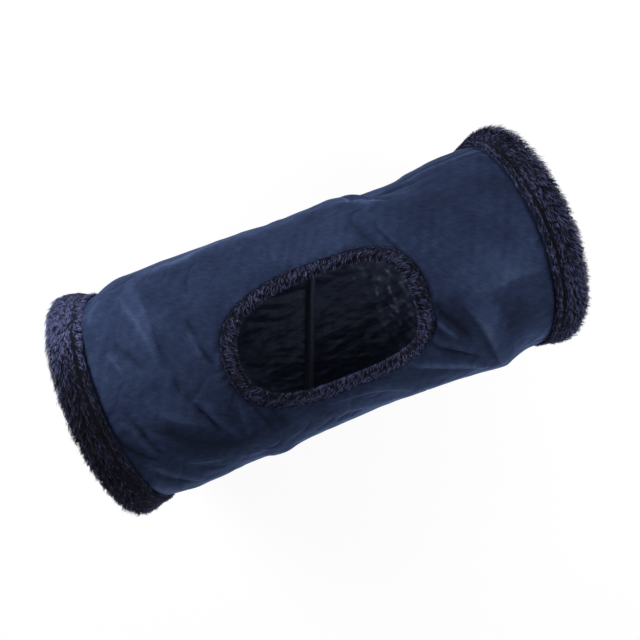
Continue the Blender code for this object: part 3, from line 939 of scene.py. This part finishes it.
# %% [markdown]
# The spring is one steel wire, wound as a helix and running level beside each end hoop, where a
# crimped sleeve joins the two. Its path takes three points for each column of the exact model's
# helix, so both turn together. Wire is drawn through a die, which leaves it bright with faint lines
# along it, and noise that is drawn out along X gives those.

# %% Spring wire
GAP = 0.0003  # the room between layers that touch
WIRE_RADIUS = 0.11237
WIRE_DIAMETER = 0.0022
COIL_COLUMN = TAU / 32
COIL_END = HOOP_PLACE - WIRE_DIAMETER - GAP
LEVEL_STEPS = 2
STEPS_EACH = 3  # points of the wire for each of the exact model's columns
WIRE_SIDES = 10


def steel_finish(name, colour, roughness):
    tones = ((0.3, tuple(0.7 * value for value in colour)), (0.7, colour))
    two_tone(name, tones, 0.00005, noise=(900, 3, (1, 0.3, 0.3)), Metallic=1.0, Roughness=roughness)


def coil_columns(reach):
    """The first and last of the model's columns at which the helix is within reach of the middle."""
    columns = [n for n in range(-96, 97) if abs(helix_x(n * COIL_COLUMN)) <= reach]
    return min(columns), max(columns)


steel_finish("drawn_steel", (0.50, 0.51, 0.53), 0.28)
first, last = coil_columns(COIL_END)
columns = np.arange(first * STEPS_EACH, last * STEPS_EACH + 1) / STEPS_EACH
level_ends = np.arange(1, LEVEL_STEPS + 1)
angle = np.concatenate([first - level_ends[::-1], columns, last + level_ends]) * COIL_COLUMN
wire_x = np.clip(helix_x(angle), -COIL_END, COIL_END)
outward = np.stack([0 * angle, np.cos(angle), np.sin(angle)], axis=-1)
wire_path = wire_x[:, None] * (1, 0, 0) + outward * WIRE_RADIUS + np.array(middle)
wire_points = tube_along(wire_path, outward, [WIRE_DIAMETER / 2] * len(wire_path), WIRE_SIDES)
wire = new_piece("coil_wire", wire_points, capped_faces(len(wire_path), WIRE_SIDES), "drawn_steel")
ride_tube(wire, "spring_coil")
print(f"wire {length_along(wire_path):.3f} m long")

# %% [markdown]
# A strip of woven tape is sewn to the lining along both of its edges and makes a channel for the
# wire. Seen through the opening it is the one band that crosses the dark inside. It is a ribbon of
# points that follows the helix, arched over the wire, with its sewn edges gathered a little.

# %% Channel tape
TAPE_HALF = 0.0068
ARCH_HALF = 0.0064
ARCH_FLAT = 0.0006
TAPE_ARCH = 0.1106
TAPE_COLUMNS = 15
TAPE_STEPS_EACH = 5
TAPE_SEAT = 0.0004
TAPE_GATHER = 0.0005
GATHERS_EACH_TURN = 150
TAPE_TONES = ((0.2, (0.022, 0.026, 0.042)), (0.8, (0.040, 0.047, 0.072)))
TAPE_SHINE = {"Specular_IOR_Level": 0.2, "Specular_Tint": (0.55, 0.68, 1.0, 1)}

two_tone(
    "ribbed_tape", TAPE_TONES, 0.0003, wave=(180.0, "Y"), noise=(700, 3), on_cloth=True,
    Roughness=0.75, **TAPE_SHINE,
)
first, last = coil_columns(casing_low.x - GAP - TAPE_HALF)
angle = np.linspace(first, last, (last - first) * TAPE_STEPS_EACH + 1) * COIL_COLUMN
offset = np.linspace(-TAPE_HALF, TAPE_HALF, TAPE_COLUMNS)
tape_x = helix_x(angle)[:, None] + offset
tape_across = np.broadcast_to(((TAU / 4 - angle) * COVER_RADIUS)[:, None], tape_x.shape)
wrapped = (tape_across + HALF_ROUND) % (2 * HALF_ROUND) - HALF_ROUND
seat = cover_radius(tape_x, wrapped) - LINING_DEPTH - TAPE_SEAT
arch = 1 - smooth_step(np.abs(offset), ARCH_FLAT, ARCH_HALF)
sewn_edge = smooth_step(np.abs(offset), 0.6 * ARCH_HALF, TAPE_HALF)
gather = TAPE_GATHER * np.cos(angle * GATHERS_EACH_TURN)[:, None] * sewn_edge
tape_points = rolled(tape_x, tape_across, seat + (TAPE_ARCH - seat) * arch - np.abs(gather))
tape = new_piece("channel_tape", tape_points, grid_faces(*tape_x.shape), "ribbed_tape")
lay_map(tape, tape_x, tape_across)
ride_tube(tape, "coil_tape")

# %% [markdown]
# The fur bands are strips of plush folded over each edge, like a binding on a blanket. Each has a
# knitted backing with a slot in it for the layers, and the pile grows out of the backing. The
# backing is a closed outline with rounded corners, swept once round the tunnel or round the
# opening. Modelling it apart from the pile gives the strands real roots to grow from.

# %% Outlines of the backings
BACKING = 0.0015
CORNER_STEPS = 5
BAND_ROUNDING = 0.0050
BAND_COLUMNS = 60


def rounded_path(corners, radius):
    """A line through corners, each inner one rounded with a small curve."""
    corners = np.array(corners, float)
    path = [corners[0]]
    for before, corner, after in zip(corners, corners[1:], corners[2:]):
        cuts = []
        for other in (before, after):
            run = other - corner
            cuts.append(corner + run * min(radius / np.linalg.norm(run), 0.45))
        for step in range(CORNER_STEPS + 1):
            t = step / CORNER_STEPS
            path.append((1 - t) ** 2 * cuts[0] + 2 * t * (1 - t) * corner + t**2 * cuts[1])
    return np.array([*path, corners[-1]])


def spaced(path, count):
    """The same line with this many points, evenly spaced."""
    run = np.concatenate([[0], np.cumsum(np.linalg.norm(np.diff(path, axis=0), axis=1))])
    even = np.linspace(0, run[-1], count)
    return np.stack([np.interp(even, run, path[:, axis]) for axis in range(path.shape[1])], axis=-1)


slot_outside = casing_high.y + GAP
slot_inside = 0.10947
slot_floor = casing_high.x + GAP
rim = BAND_END - 0.0043
inner_start = BAND_START + 0.0085
band_corners = [
    # distance along the tunnel, radius
    (BAND_START + 0.0014, slot_outside),
    (BAND_START + 0.0010, slot_outside + 0.6 * BACKING),
    (BAND_END - 0.0120, slot_outside + 1.6 * BACKING),
    (rim, slot_outside + 2.1 * BACKING),
    (rim, slot_inside - BACKING),
    (inner_start, slot_inside - BACKING),
    (inner_start, slot_inside),
]
band_skin = spaced(rounded_path(band_corners, BAND_ROUNDING), BAND_COLUMNS)
print("band outline", len(band_skin), "points")

# %% [markdown]
# The backing of the fur is a dark knit, seen only where the pile parts. Its finish is one noise that
# sets both the tone and the bump. The helper in this cell builds a padded ring from two grids, its
# skin and the two lines of its slot. The ring closes both ways, so it is one solid body, and the
# same helper serves all three bands.

# %% Backing knit finish
KNIT_TONES = ((0.35, (0.006, 0.0065, 0.013)), (0.65, (0.016, 0.017, 0.032)))


def padded_ring(name, skin, slot):
    """A closed ring from its skin and the two lines of its slot, all grids of points round it."""
    points = np.concatenate([skin, slot], axis=1)
    faces = grid_faces(points.shape[0], points.shape[1], close_rows=True, close_columns=True)
    ring = new_piece(name, points, faces, "plush_backing")
    return ring


two_tone("plush_backing", KNIT_TONES, 0.0010, noise=(900, 3), Roughness=1.0, Specular_IOR_Level=0.1)
print("backing finish mixed")

# %% [markdown]
# A backing is stuffed only by its own folds, so it is a plump, slightly uneven ring. A few slow waves
# move its skin in and out by less than a millimetre. Each wave has a whole number of crests in one
# turn, so the ring meets itself without a step. The far side is also made plumper or flatter, as
# the photograph shows it.

# %% Backings of the two end bands
RING_STEPS = 720
FLOOR_CLEARANCE = 0.0004
LUMPS = ((5, 0.4), (9, 2.1), (14, 3.3), (23, 5.0))  # waves in a turn, shift
LUMP_HEIGHT = 0.0006
FAR_TURN = math.radians(8)
FAR_SIDE_PLUMP = {-1: (-0.0050, 0.0006), 1: (0, 0.0038)}  # at the seam and at the rim


def near_turn(turn, place, reach):
    """1 where an angle round the tunnel is close to a place, fading to 0 past this reach."""
    return fading(np.cos(turn - place) - 1, reach)


def turned_grid(outline, side, lumps=0.0):
    """An outline of (distance along, radius) turned round the tunnel's axis, on the left or right."""
    angle = np.arange(RING_STEPS) * TAU / RING_STEPS * side
    x = side * outline[None, :, 0] + 0 * angle[:, None]
    across = (TAU / 4 - angle[:, None]) * COVER_RADIUS + 0 * x
    points = rolled(x, across, outline[None, :, 1] + lumps)
    points[..., 2] = np.maximum(points[..., 2], 2 * FLOOR_CLEARANCE)
    return points


def band_lumps(outline, side):
    """A slow unevenness that meets itself after one turn, and the plumper or flatter far side."""
    turn = (np.arange(RING_STEPS) * TAU / RING_STEPS * side)[:, None]
    wave = sum(np.cos(count * turn + shift + 60 * outline[:, 0]) / 4 for count, shift in LUMPS)
    outer_face = smooth_step(outline[:, 1], slot_inside, slot_outside)
    towards_rim = smooth_step(outline[:, 0] - BAND_START, 0.001, 0.014)
    seam_plump, rim_plump = FAR_SIDE_PLUMP[side]
    plump = seam_plump + (rim_plump - seam_plump) * towards_rim
    return (LUMP_HEIGHT * wave * towards_rim + plump * near_turn(turn, FAR_TURN, 0.22)) * outer_face


end_skins = {}
slot_outline = np.array([(slot_floor, slot_inside), (slot_floor, slot_outside)])
for side_name, side in (("left", -1), ("right", 1)):
    skin = turned_grid(band_skin, side, band_lumps(band_skin, side))
    end_skins[side_name] = skin
    backing = padded_ring(side_name + "_band_backing", skin, turned_grid(slot_outline, side))
    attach(backing, side_name + "_end")
    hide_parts(side_name + "_plush_edge")
print(len(end_skins), "end bands backed")

# %% [markdown]
# The opening's backing follows the oval over a curved surface. At each step round the edge it needs
# three directions: away from the tunnel's axis, outwards across the cloth, and along the edge. The
# outline is then laid out in the first two, just as a pastry cutter's section is the same all the
# way round.

# %% Backing of the opening's band
TRIM_STEPS = 520
TRIM_COLUMNS = 36
TRIM_ROUNDING = 0.0034
UNDER_LAYERS = -0.0023 - GAP
TRIM_CORNERS = [
    # how far outside the cloth's edge, how far above the cloth
    (0.0092, 0.0003),
    (0.0084, 0.0024),
    (-0.0014, 0.0034),
    (-0.0014, -0.0038),
    (0.0060, -0.0038),
    (0.0070, UNDER_LAYERS),
]
TRIM_SLOT = [(-GAP, UNDER_LAYERS), (-GAP, GAP)]


def laid_round(outline, place, up, out):
    """An outline of (out, up) laid at every point of the edge."""
    outline = np.array(outline)[None, :, :, None]
    return place[:, None] + out[:, None] * outline[:, :, 0] + up[:, None] * outline[:, :, 1]


edge_x, edge_across = opening_outline(np.arange(TRIM_STEPS) / TRIM_STEPS, 0)
edge = rolled(edge_x, edge_across, held_cloth(edge_x, edge_across)[0])
up = unit(edge * (0, 1, 1) - (0, 0, AXIS_HEIGHT))
out = unit(np.cross(np.roll(edge, -1, axis=0) - np.roll(edge, 1, axis=0), up))
trim_skin = laid_round(spaced(rounded_path(TRIM_CORNERS, TRIM_ROUNDING), TRIM_COLUMNS), edge, up, out)
trim_backing = padded_ring("opening_backing", trim_skin, laid_round(TRIM_SLOT, edge, up, out))
fold_up(trim_backing, "opening_edge")
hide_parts("opening_plush_edge")
print("opening backed, out direction", [round(float(v), 2) for v in out[0]])

# %% [markdown]
# The pile is what one notices first: short, dense plush, combed round the band and crimped into little
# waves. Blender's hair would be the usual way, but hair is lost when a model is exported as plain
# meshes, so every lock is a real ribbon a third of a millimetre wide, with a few bends. Here is its
# finish: dark at the roots and lighter towards the tips, with each lock a shade of its own, which also
# carries painted light and shade. Its lightest stop is a painted highlight.

# %% Plush finish
PILE_ROOT = (0.0026, 0.0024, 0.0042)
PILE_MIDDLE = (0.0165, 0.0170, 0.0320)
PILE_TIP = (0.104, 0.120, 0.262)
# a painted highlight, reached where painted light lifts a lock's shade
PILE_PAINTED_HIGHLIGHT = (0.190, 0.215, 0.430)
PILE_SHEEN = {"Sheen_Weight": 0.20, "Sheen_Roughness": 0.4, "Sheen_Tint": (0.45, 0.50, 1.0, 1)}

tree, shader = new_finish("navy_plush", Roughness=0.85, Specular_IOR_Level=0.12, **PILE_SHEEN)
along = add_node(tree, "Attribute", attribute_name="along").outputs["Fac"]
tone = add_node(tree, "Attribute", attribute_name="tone").outputs["Fac"]
fibres = add_noise(tree, add_node(tree, "TexCoord").outputs["Object"], 1500, 2)
shade = add_sum(tree, (along, 0.34), (tone, 0.60), (fibres, 0.08))
shades = ((0.21, PILE_ROOT), (0.51, PILE_MIDDLE), (0.75, PILE_TIP), (1.0, PILE_PAINTED_HIGHLIGHT))
add_colours(tree, shader, shade, *shades)
print("plush mixed")

# %% [markdown]
# Each field of pile grows on a part of a backing's skin, which is a grid of points. Roots are drawn
# at random, as many per square millimetre everywhere: a point of the grid is picked as often as the
# area round it says, and then each root slides some way off its point, over the skin.

# %% Roots of the pile
def draw_roots(skin, columns, count, draw):
    """Random roots on part of a skin, the ways out of it and over it, and the share of its outline."""
    around = (np.roll(skin, -1, axis=0) - np.roll(skin, 1, axis=0)) / 2
    aside = np.gradient(skin, axis=1)
    outward = np.cross(around, aside)
    if (outward * (skin - skin.mean(axis=1, keepdims=True))).sum() < 0:
        outward = -outward
    share = np.broadcast_to(np.linspace(0, 1, skin.shape[1]), skin.shape[:2])
    part = slice(*columns)
    size = np.linalg.norm(outward[:, part], axis=-1).ravel()
    picked = draw.choice(size.size, count, p=size / size.sum())
    point, around, aside, outward = [
        grid[:, part].reshape(-1, 3)[picked] for grid in (skin, around, aside, outward)
    ]
    slide = draw.uniform(-0.5, 0.5, (2, count, 1))
    root = point + around * slide[0] + aside * slide[1]
    return root, unit(outward), unit(aside), share[:, part].ravel()[picked]


print("roots ready to be drawn")

# %% [markdown]
# A lock rises from the skin, leans over along its combing direction, sways from side to side and ends
# in a point. Neighbours sway almost in step, which makes the waves, and each differs a little, which
# makes the fuzz. A rule for each band, its habit, says how high and long a lock is at each root, which
# way it is combed, how far it strays from that, and how light it is, which is mostly painted light and
# shade. Some pairs of locks are wisps, which stand up higher and are painted lighter, a painted
# highlight for the light they would catch.

# %% Growing locks on a skin
LOCK_STATIONS = np.array([0, 0.38, 0.72, 1.0])  # shares of the way from root to tip
LOCK_WIDTHS = np.array([0.9, 1.0, 0.8, 0.0])
LOCK_FACES = np.array([(0, 1, 4), (0, 4, 3), (1, 2, 5), (1, 5, 4), (2, 6, 5)])
LOCK_TWIST = 0.45
CLUMP = 2  # locks that lie alike
CLUMP_REACH = 0.00018
LOCK_LEAN = 1.3  # above 1, so a lock rises first and leans over later
SWAY = 0.0005
SWAY_TURNS = 1.3
WISP_SHARE = 0.28
WISP_LIFT = 0.50
# a painted highlight on the wisps
WISP_PAINTED_HIGHLIGHT = 0.52


def grow_pile(name, skin, columns, count, width, seed, habit):
    """Locks of plush on a skin, a grid of points that closes in its first direction."""
    draw = np.random.default_rng(seed)
    clumps = count // CLUMP
    root, normal, over, share = draw_roots(skin, columns, clumps, draw)
    # two coordinates for slow patches, slanted so that the patches change with height as well
    run = root[:, 0] + 0.7 * root[:, 2]
    step = root[:, 1] + 0.7 * root[:, 2]
    height, length, heading, wildness, shade = habit(root, share)
    curl = 0.15 * random_waves(run, step, 0.026, seed + 1)
    curl += 0.13 * random_waves(run, step, 0.009, seed + 2) + draw.normal(0, 0.10, clumps)
    heading = heading + curl * wildness
    wisp = draw.random(clumps) < WISP_SHARE
    lift = draw.uniform(0.45, 0.85, clumps) + WISP_LIFT * wisp
    height = height * (1 + 0.15 * random_waves(run, step, 0.012, seed + 3)) * lift
    length = length * draw.uniform(0.75, 1.2, clumps)
    phase = 3.0 * random_waves(run, step, 0.014, seed + 5) + draw.normal(0, 0.5, clumps)
    # The habit's painted light and shade, and a painted highlight on the wisps, go into each clump's
    # tone.
    tone = 0.15 + shade * (0.45 + 0.85 * wisp) + WISP_PAINTED_HIGHLIGHT * wisp + draw.normal(0, 0.14, clumps)
    patches = 0.04 * random_waves(run, step, 0.011, seed + 4)
    patches += 0.08 * random_waves(run, step, 0.045, seed + 6)
    tone += patches

    def shared(values):
        return np.repeat(values, CLUMP, axis=0)

    count = clumps * CLUMP
    root, normal, over = shared(root), shared(normal), shared(over)
    along = np.cross(over, normal)
    heading = (shared(heading) + draw.normal(0, 0.07, count))[:, None]
    forward = along * np.cos(heading) + over * np.sin(heading)
    sideways = np.cross(normal, forward)
    high = (shared(height) * draw.uniform(0.8, 1.1, count))[:, None, None]
    long = (shared(length) * draw.uniform(0.85, 1.1, count))[:, None, None]
    spread = draw.normal(0, CLUMP_REACH, (2, count, 1, 1))
    phase = (shared(phase) + draw.normal(0, 0.25, count))[:, None, None]
    station = LOCK_STATIONS[None, :, None]
    centre = root[:, None] + forward[:, None] * (long * station**LOCK_LEAN + spread[0])
    centre = centre + normal[:, None] * high * np.sin(TAU / 4 * np.minimum(1.5 * station, 1.35))
    sway = SWAY * (np.sin(SWAY_TURNS * TAU * station + phase) - np.sin(phase))
    centre = centre + sideways[:, None] * (sway + spread[1] * (1 - 0.75 * station))
    roll = draw.normal(0, LOCK_TWIST, count)[:, None]
    brim = (sideways * np.cos(roll) + normal * np.sin(roll))[:, None]
    half = (width / 2 * draw.uniform(0.7, 1.3, count))[:, None, None] * LOCK_WIDTHS[None, :, None]
    left_side, right_side = centre - brim * half, centre + brim * half
    points = np.concatenate([left_side[:, :-1], right_side[:, :-1], centre[:, -1:]], axis=1)
    points[..., 2] = np.maximum(points[..., 2], FLOOR_CLEARANCE)

    stations = np.concatenate([LOCK_STATIONS[:-1], LOCK_STATIONS[:-1], [1.0]])
    faces = np.arange(count)[:, None, None] * len(stations) + LOCK_FACES
    pile = new_piece(name, points, faces.reshape(-1, 3), "navy_plush")
    store_value(pile, "along", np.tile(stations, count))
    store_value(pile, "tone", np.repeat(shared(tone) + draw.normal(0, 0.11, count), len(stations)))
    print(f"{name}: {count} locks in {clumps} clumps")
    return pile


print("locks of", len(LOCK_FACES), "faces each")

# %% [markdown]
# On the end bands the pile is short beside the seam and full at the rim. A row of stitching a few
# millimetres in from the seam presses it into a groove, plainest on the far side of the left band and
# the near side of the right one. The pile is combed round the band, towards the near side, and turns
# outwards at the rim. On the opening's band it lies slantwise across the crown and falls down into the
# tunnel. Light and shade are painted into the pile's tone: the groove is a painted shadow, the left
# band is painted lighter on the top of its far side and darker on its near side, and the rolled pile
# on the left band's far side and the tips at every rim are painted lighter. The opening's band is
# painted lighter on its crown and near side and darker towards the left.

# %% Habits of the pile
GROOVE_PLACE = 0.0072  # distances from the band's seam
GROOVE_HALF = 0.0015
ROLL_PLACE = 0.0036
ROLL_HALF = 0.0022
PAINTED_SHADE_TURN = math.radians(108)
PAINTED_LIGHT_TURN = math.radians(18)
FAR_PILE_TURN = 0.2
CROWN_PLACE = 0.30  # shares of the opening band's outline
CROWN_HALF = 0.22
# Each band's painted shading darkens its near side and its painted lighting lightens the top of its
# far side.
LEFT_BAND = {
    "side": -1, "groove_turn": math.radians(35), "pressed": 0.75, "rolled": 1.0, "fanned": 0.40,
    "painted_shading": -0.25, "painted_lighting": 0.74,
}
RIGHT_BAND = {
    "side": 1, "groove_turn": math.radians(125), "pressed": 0.35, "rolled": 0.0, "fanned": 0.65,
    "painted_shading": -0.02, "painted_lighting": -0.04,
}


def band_habit(band, root, share):
    """Height, length, direction, unruliness and painted light and shade of the pile at each root of an
    end band.
    """
    past = np.abs(root[:, 0]) - BAND_START
    turn = np.arctan2(root[:, 2] - AXIS_HEIGHT, root[:, 1])
    outer_face = share < 0.45
    full = np.where(outer_face, smooth_step(past, 0.007, 0.022), 0.6)
    edge = smooth_step(past, 0.025, 0.031)
    roll = fading(past - ROLL_PLACE, ROLL_HALF) * outer_face
    groove = fading(past - GROOVE_PLACE, GROOVE_HALF) * outer_face
    groove *= 0.55 + 0.40 * near_turn(turn, band["groove_turn"], 0.7)
    far_side = near_turn(turn, FAR_PILE_TURN, 0.3) * band["rolled"]
    pressed = 1 - band["pressed"] * (smooth_step(past, 0.022, 0.032) * near_turn(turn, TAU / 4, 0.35))
    height = (0.0010 + 0.0010 * roll + 0.0034 * full + 0.0016 * edge) * (1 - groove) * pressed
    height *= 1 - far_side * (0.5 - roll)
    length = 0.0054 + 0.0012 * full + 0.0030 * smooth_step(past, 0.024, 0.030)
    length *= 0.4 + 0.6 * pressed
    wildness = 0.3 + 0.7 * smooth_step(np.abs(past - GROOVE_PLACE), 0.002, 0.007)
    outwards = band["fanned"] * smooth_step(past, 0.013, 0.028) * (1 - 0.5 * far_side)
    outwards = outwards - 1.5 * roll * far_side + 0.8 * edge
    heading = outwards if band["side"] > 0 else TAU / 2 - outwards
    # Painted shade on the near side and in the groove, and painted light on the rolled pile of the far
    # side.
    shade = band["painted_shading"] * near_turn(turn, PAINTED_SHADE_TURN, 0.3) - 0.80 * groove + 0.50 * roll * far_side
    # Painted light on the top of the far side and on the tips at the rim.
    painted_light = band["painted_lighting"] * near_turn(turn, PAINTED_LIGHT_TURN, 0.17)
    shade += painted_light + 0.12 * smooth_step(past, 0.022, 0.030)
    return height, length, heading, wildness, shade


def trim_habit(root, share):
    """The same for the opening's band, whose pile is fullest on the crown of the roll."""
    crown = fading(share - CROWN_PLACE, CROWN_HALF)
    height = 0.0010 + 0.0026 * crown
    length = 0.0034 + 0.0024 * crown
    heading = 1.0 + 0.3 * smooth_step(share, CROWN_PLACE, CROWN_PLACE + CROWN_HALF)
    # Painted light and shade: lighter on the crown and on the near side, darker towards the left.
    shade = 0.05 * crown - 0.09 + 0.10 * smooth_step(-root[:, 1], 0.02, 0.06)
    shade -= 0.10 * smooth_step(-root[:, 0], 0.03, 0.08)
    return height, length, heading, 1.0, shade


print("habits ready")

# %% [markdown]
# Each end band carries three fields of pile, over its outer face, its rim and its inside, so that no
# single mesh gets too heavy. The opening's band has one. The pile under the tunnel is pressed flat,
# because no lock may reach below the floor.

# %% Pile of the bands
FIELDS = {
    # columns of the skin, locks, width of a lock
    "outside": ((0, 24), 39000, 0.00031),
    "rim": ((24, 42), 33000, 0.00031),
    "inside": ((42, None), 12000, 0.0008),
}
TRIM_FIELD = ((0, None), 39000, 0.00032)

for side_name, band, first_seed in (("left", LEFT_BAND, 100), ("right", RIGHT_BAND, 130)):
    for number, (field_name, field) in enumerate(FIELDS.items()):
        pile = grow_pile(
            f"{side_name}_fur_{field_name}", end_skins[side_name], *field, first_seed + 10 * number,
            lambda root, share: band_habit(band, root, share),
        )
        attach(pile, side_name + "_end")

trim_pile = grow_pile("opening_fur", trim_skin, *TRIM_FIELD, 170, trim_habit)
fold_up(trim_pile, "opening_edge")

# %% [markdown]
# The bands are sewn on through all the layers. A real seam is a row of short stitches that dive into
# the cloth at both ends, so each stitch is a tiny bent tube with thin ends, and the row follows the
# same line as the seam in the exact model. The thread is twisted, which a fine diagonal wave shows.

# %% Stitches
STITCH_PITCH = 0.0042
STITCH_STATIONS = np.linspace(-0.40, 0.40, 5)
STITCH_SIDES = 6
THREAD_RADIUS = 0.00036
SEAM_OFFSET = 0.0007  # how far the seams lie from the edge of the fur
TRIM_SEAM_LENGTH = 0.50
THREAD_TONES = ((0.1, (0.004, 0.005, 0.011)), (0.9, (0.012, 0.016, 0.034)))


def stitch_row(name, place_of, length):
    """Stitches along a closed seam. place_of gives the seam's places on the flat cloth."""
    count = round(length / STITCH_PITCH)
    x, across = place_of((np.arange(count)[:, None] + STITCH_STATIONS) / count)
    bow = 1 - (STITCH_STATIONS / STITCH_STATIONS[-1]) ** 2
    thickness = THREAD_RADIUS * (0.45 + 0.55 * bow)
    centre = rolled(x, across, cover_radius(x, across) + GAP * bow - GAP)
    outward = rolled(x, across, 1 + 0 * x) - rolled(x, across, 0 * x)
    points, faces = [], []
    for number in range(count):
        points.append(tube_along(centre[number], outward[number], thickness, STITCH_SIDES))
        faces += capped_faces(len(bow), STITCH_SIDES, number * len(bow) * STITCH_SIDES)
    row = new_piece(name, np.array(points), faces, "sewing_thread")
    print(f"{name}: {count} stitches")
    return row


two_tone(
    "sewing_thread", THREAD_TONES, 0.0001, wave=(500.0, "DIAGONAL"),
    Roughness=0.8, Specular_IOR_Level=0.1,
)
for side_name, side in (("left", -1), ("right", 1)):
    seam = side * (BAND_START - SEAM_OFFSET)
    row = stitch_row(
        side_name + "_band_stitches",
        lambda share: (seam + 0 * share, (share - 1 / 2) * 2 * HALF_ROUND),
        2 * HALF_ROUND,
    )
    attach(row, side_name + "_end")
    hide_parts(side_name + "_edge_stitching")

row = stitch_row(
    "opening_stitches",
    lambda share: opening_outline(share, FUR_REACH + SEAM_OFFSET),
    TRIM_SEAM_LENGTH,
)
fold_up(row, "opening_edge")
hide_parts("opening_stitching")

# %% [markdown]
# Inside each band the exact model's own parts stay: the hoop, its folded tape and the crimped
# sleeves. They hardly ever show, but whoever takes the tunnel apart will see them, so each gets the
# finish of its real material.

# %% Finishes of the hidden parts
CASING_TONES = ((0.2, (0.014, 0.015, 0.021)), (0.8, (0.030, 0.032, 0.043)))
HIDDEN_PARTS = {
    "hoop_casing": "casing_tape",
    "end_hoop": "drawn_steel",
    "hoop_sleeve": "zinc_steel",
    "coil_sleeve": "zinc_steel",
}

steel_finish("zinc_steel", (0.60, 0.60, 0.60), 0.4)
two_tone("casing_tape", CASING_TONES, 0.0003, wave=(300.0, "X"), noise=(800, 3), Roughness=0.8)
for side_name in end_skins:
    for part, finish in HIDDEN_PARTS.items():
        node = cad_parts[f"{side_name}_{part}"]
        node.data.materials.clear()
        node.data.materials.append(finishes[finish])
print(2 * len(HIDDEN_PARTS), "hidden parts finished")
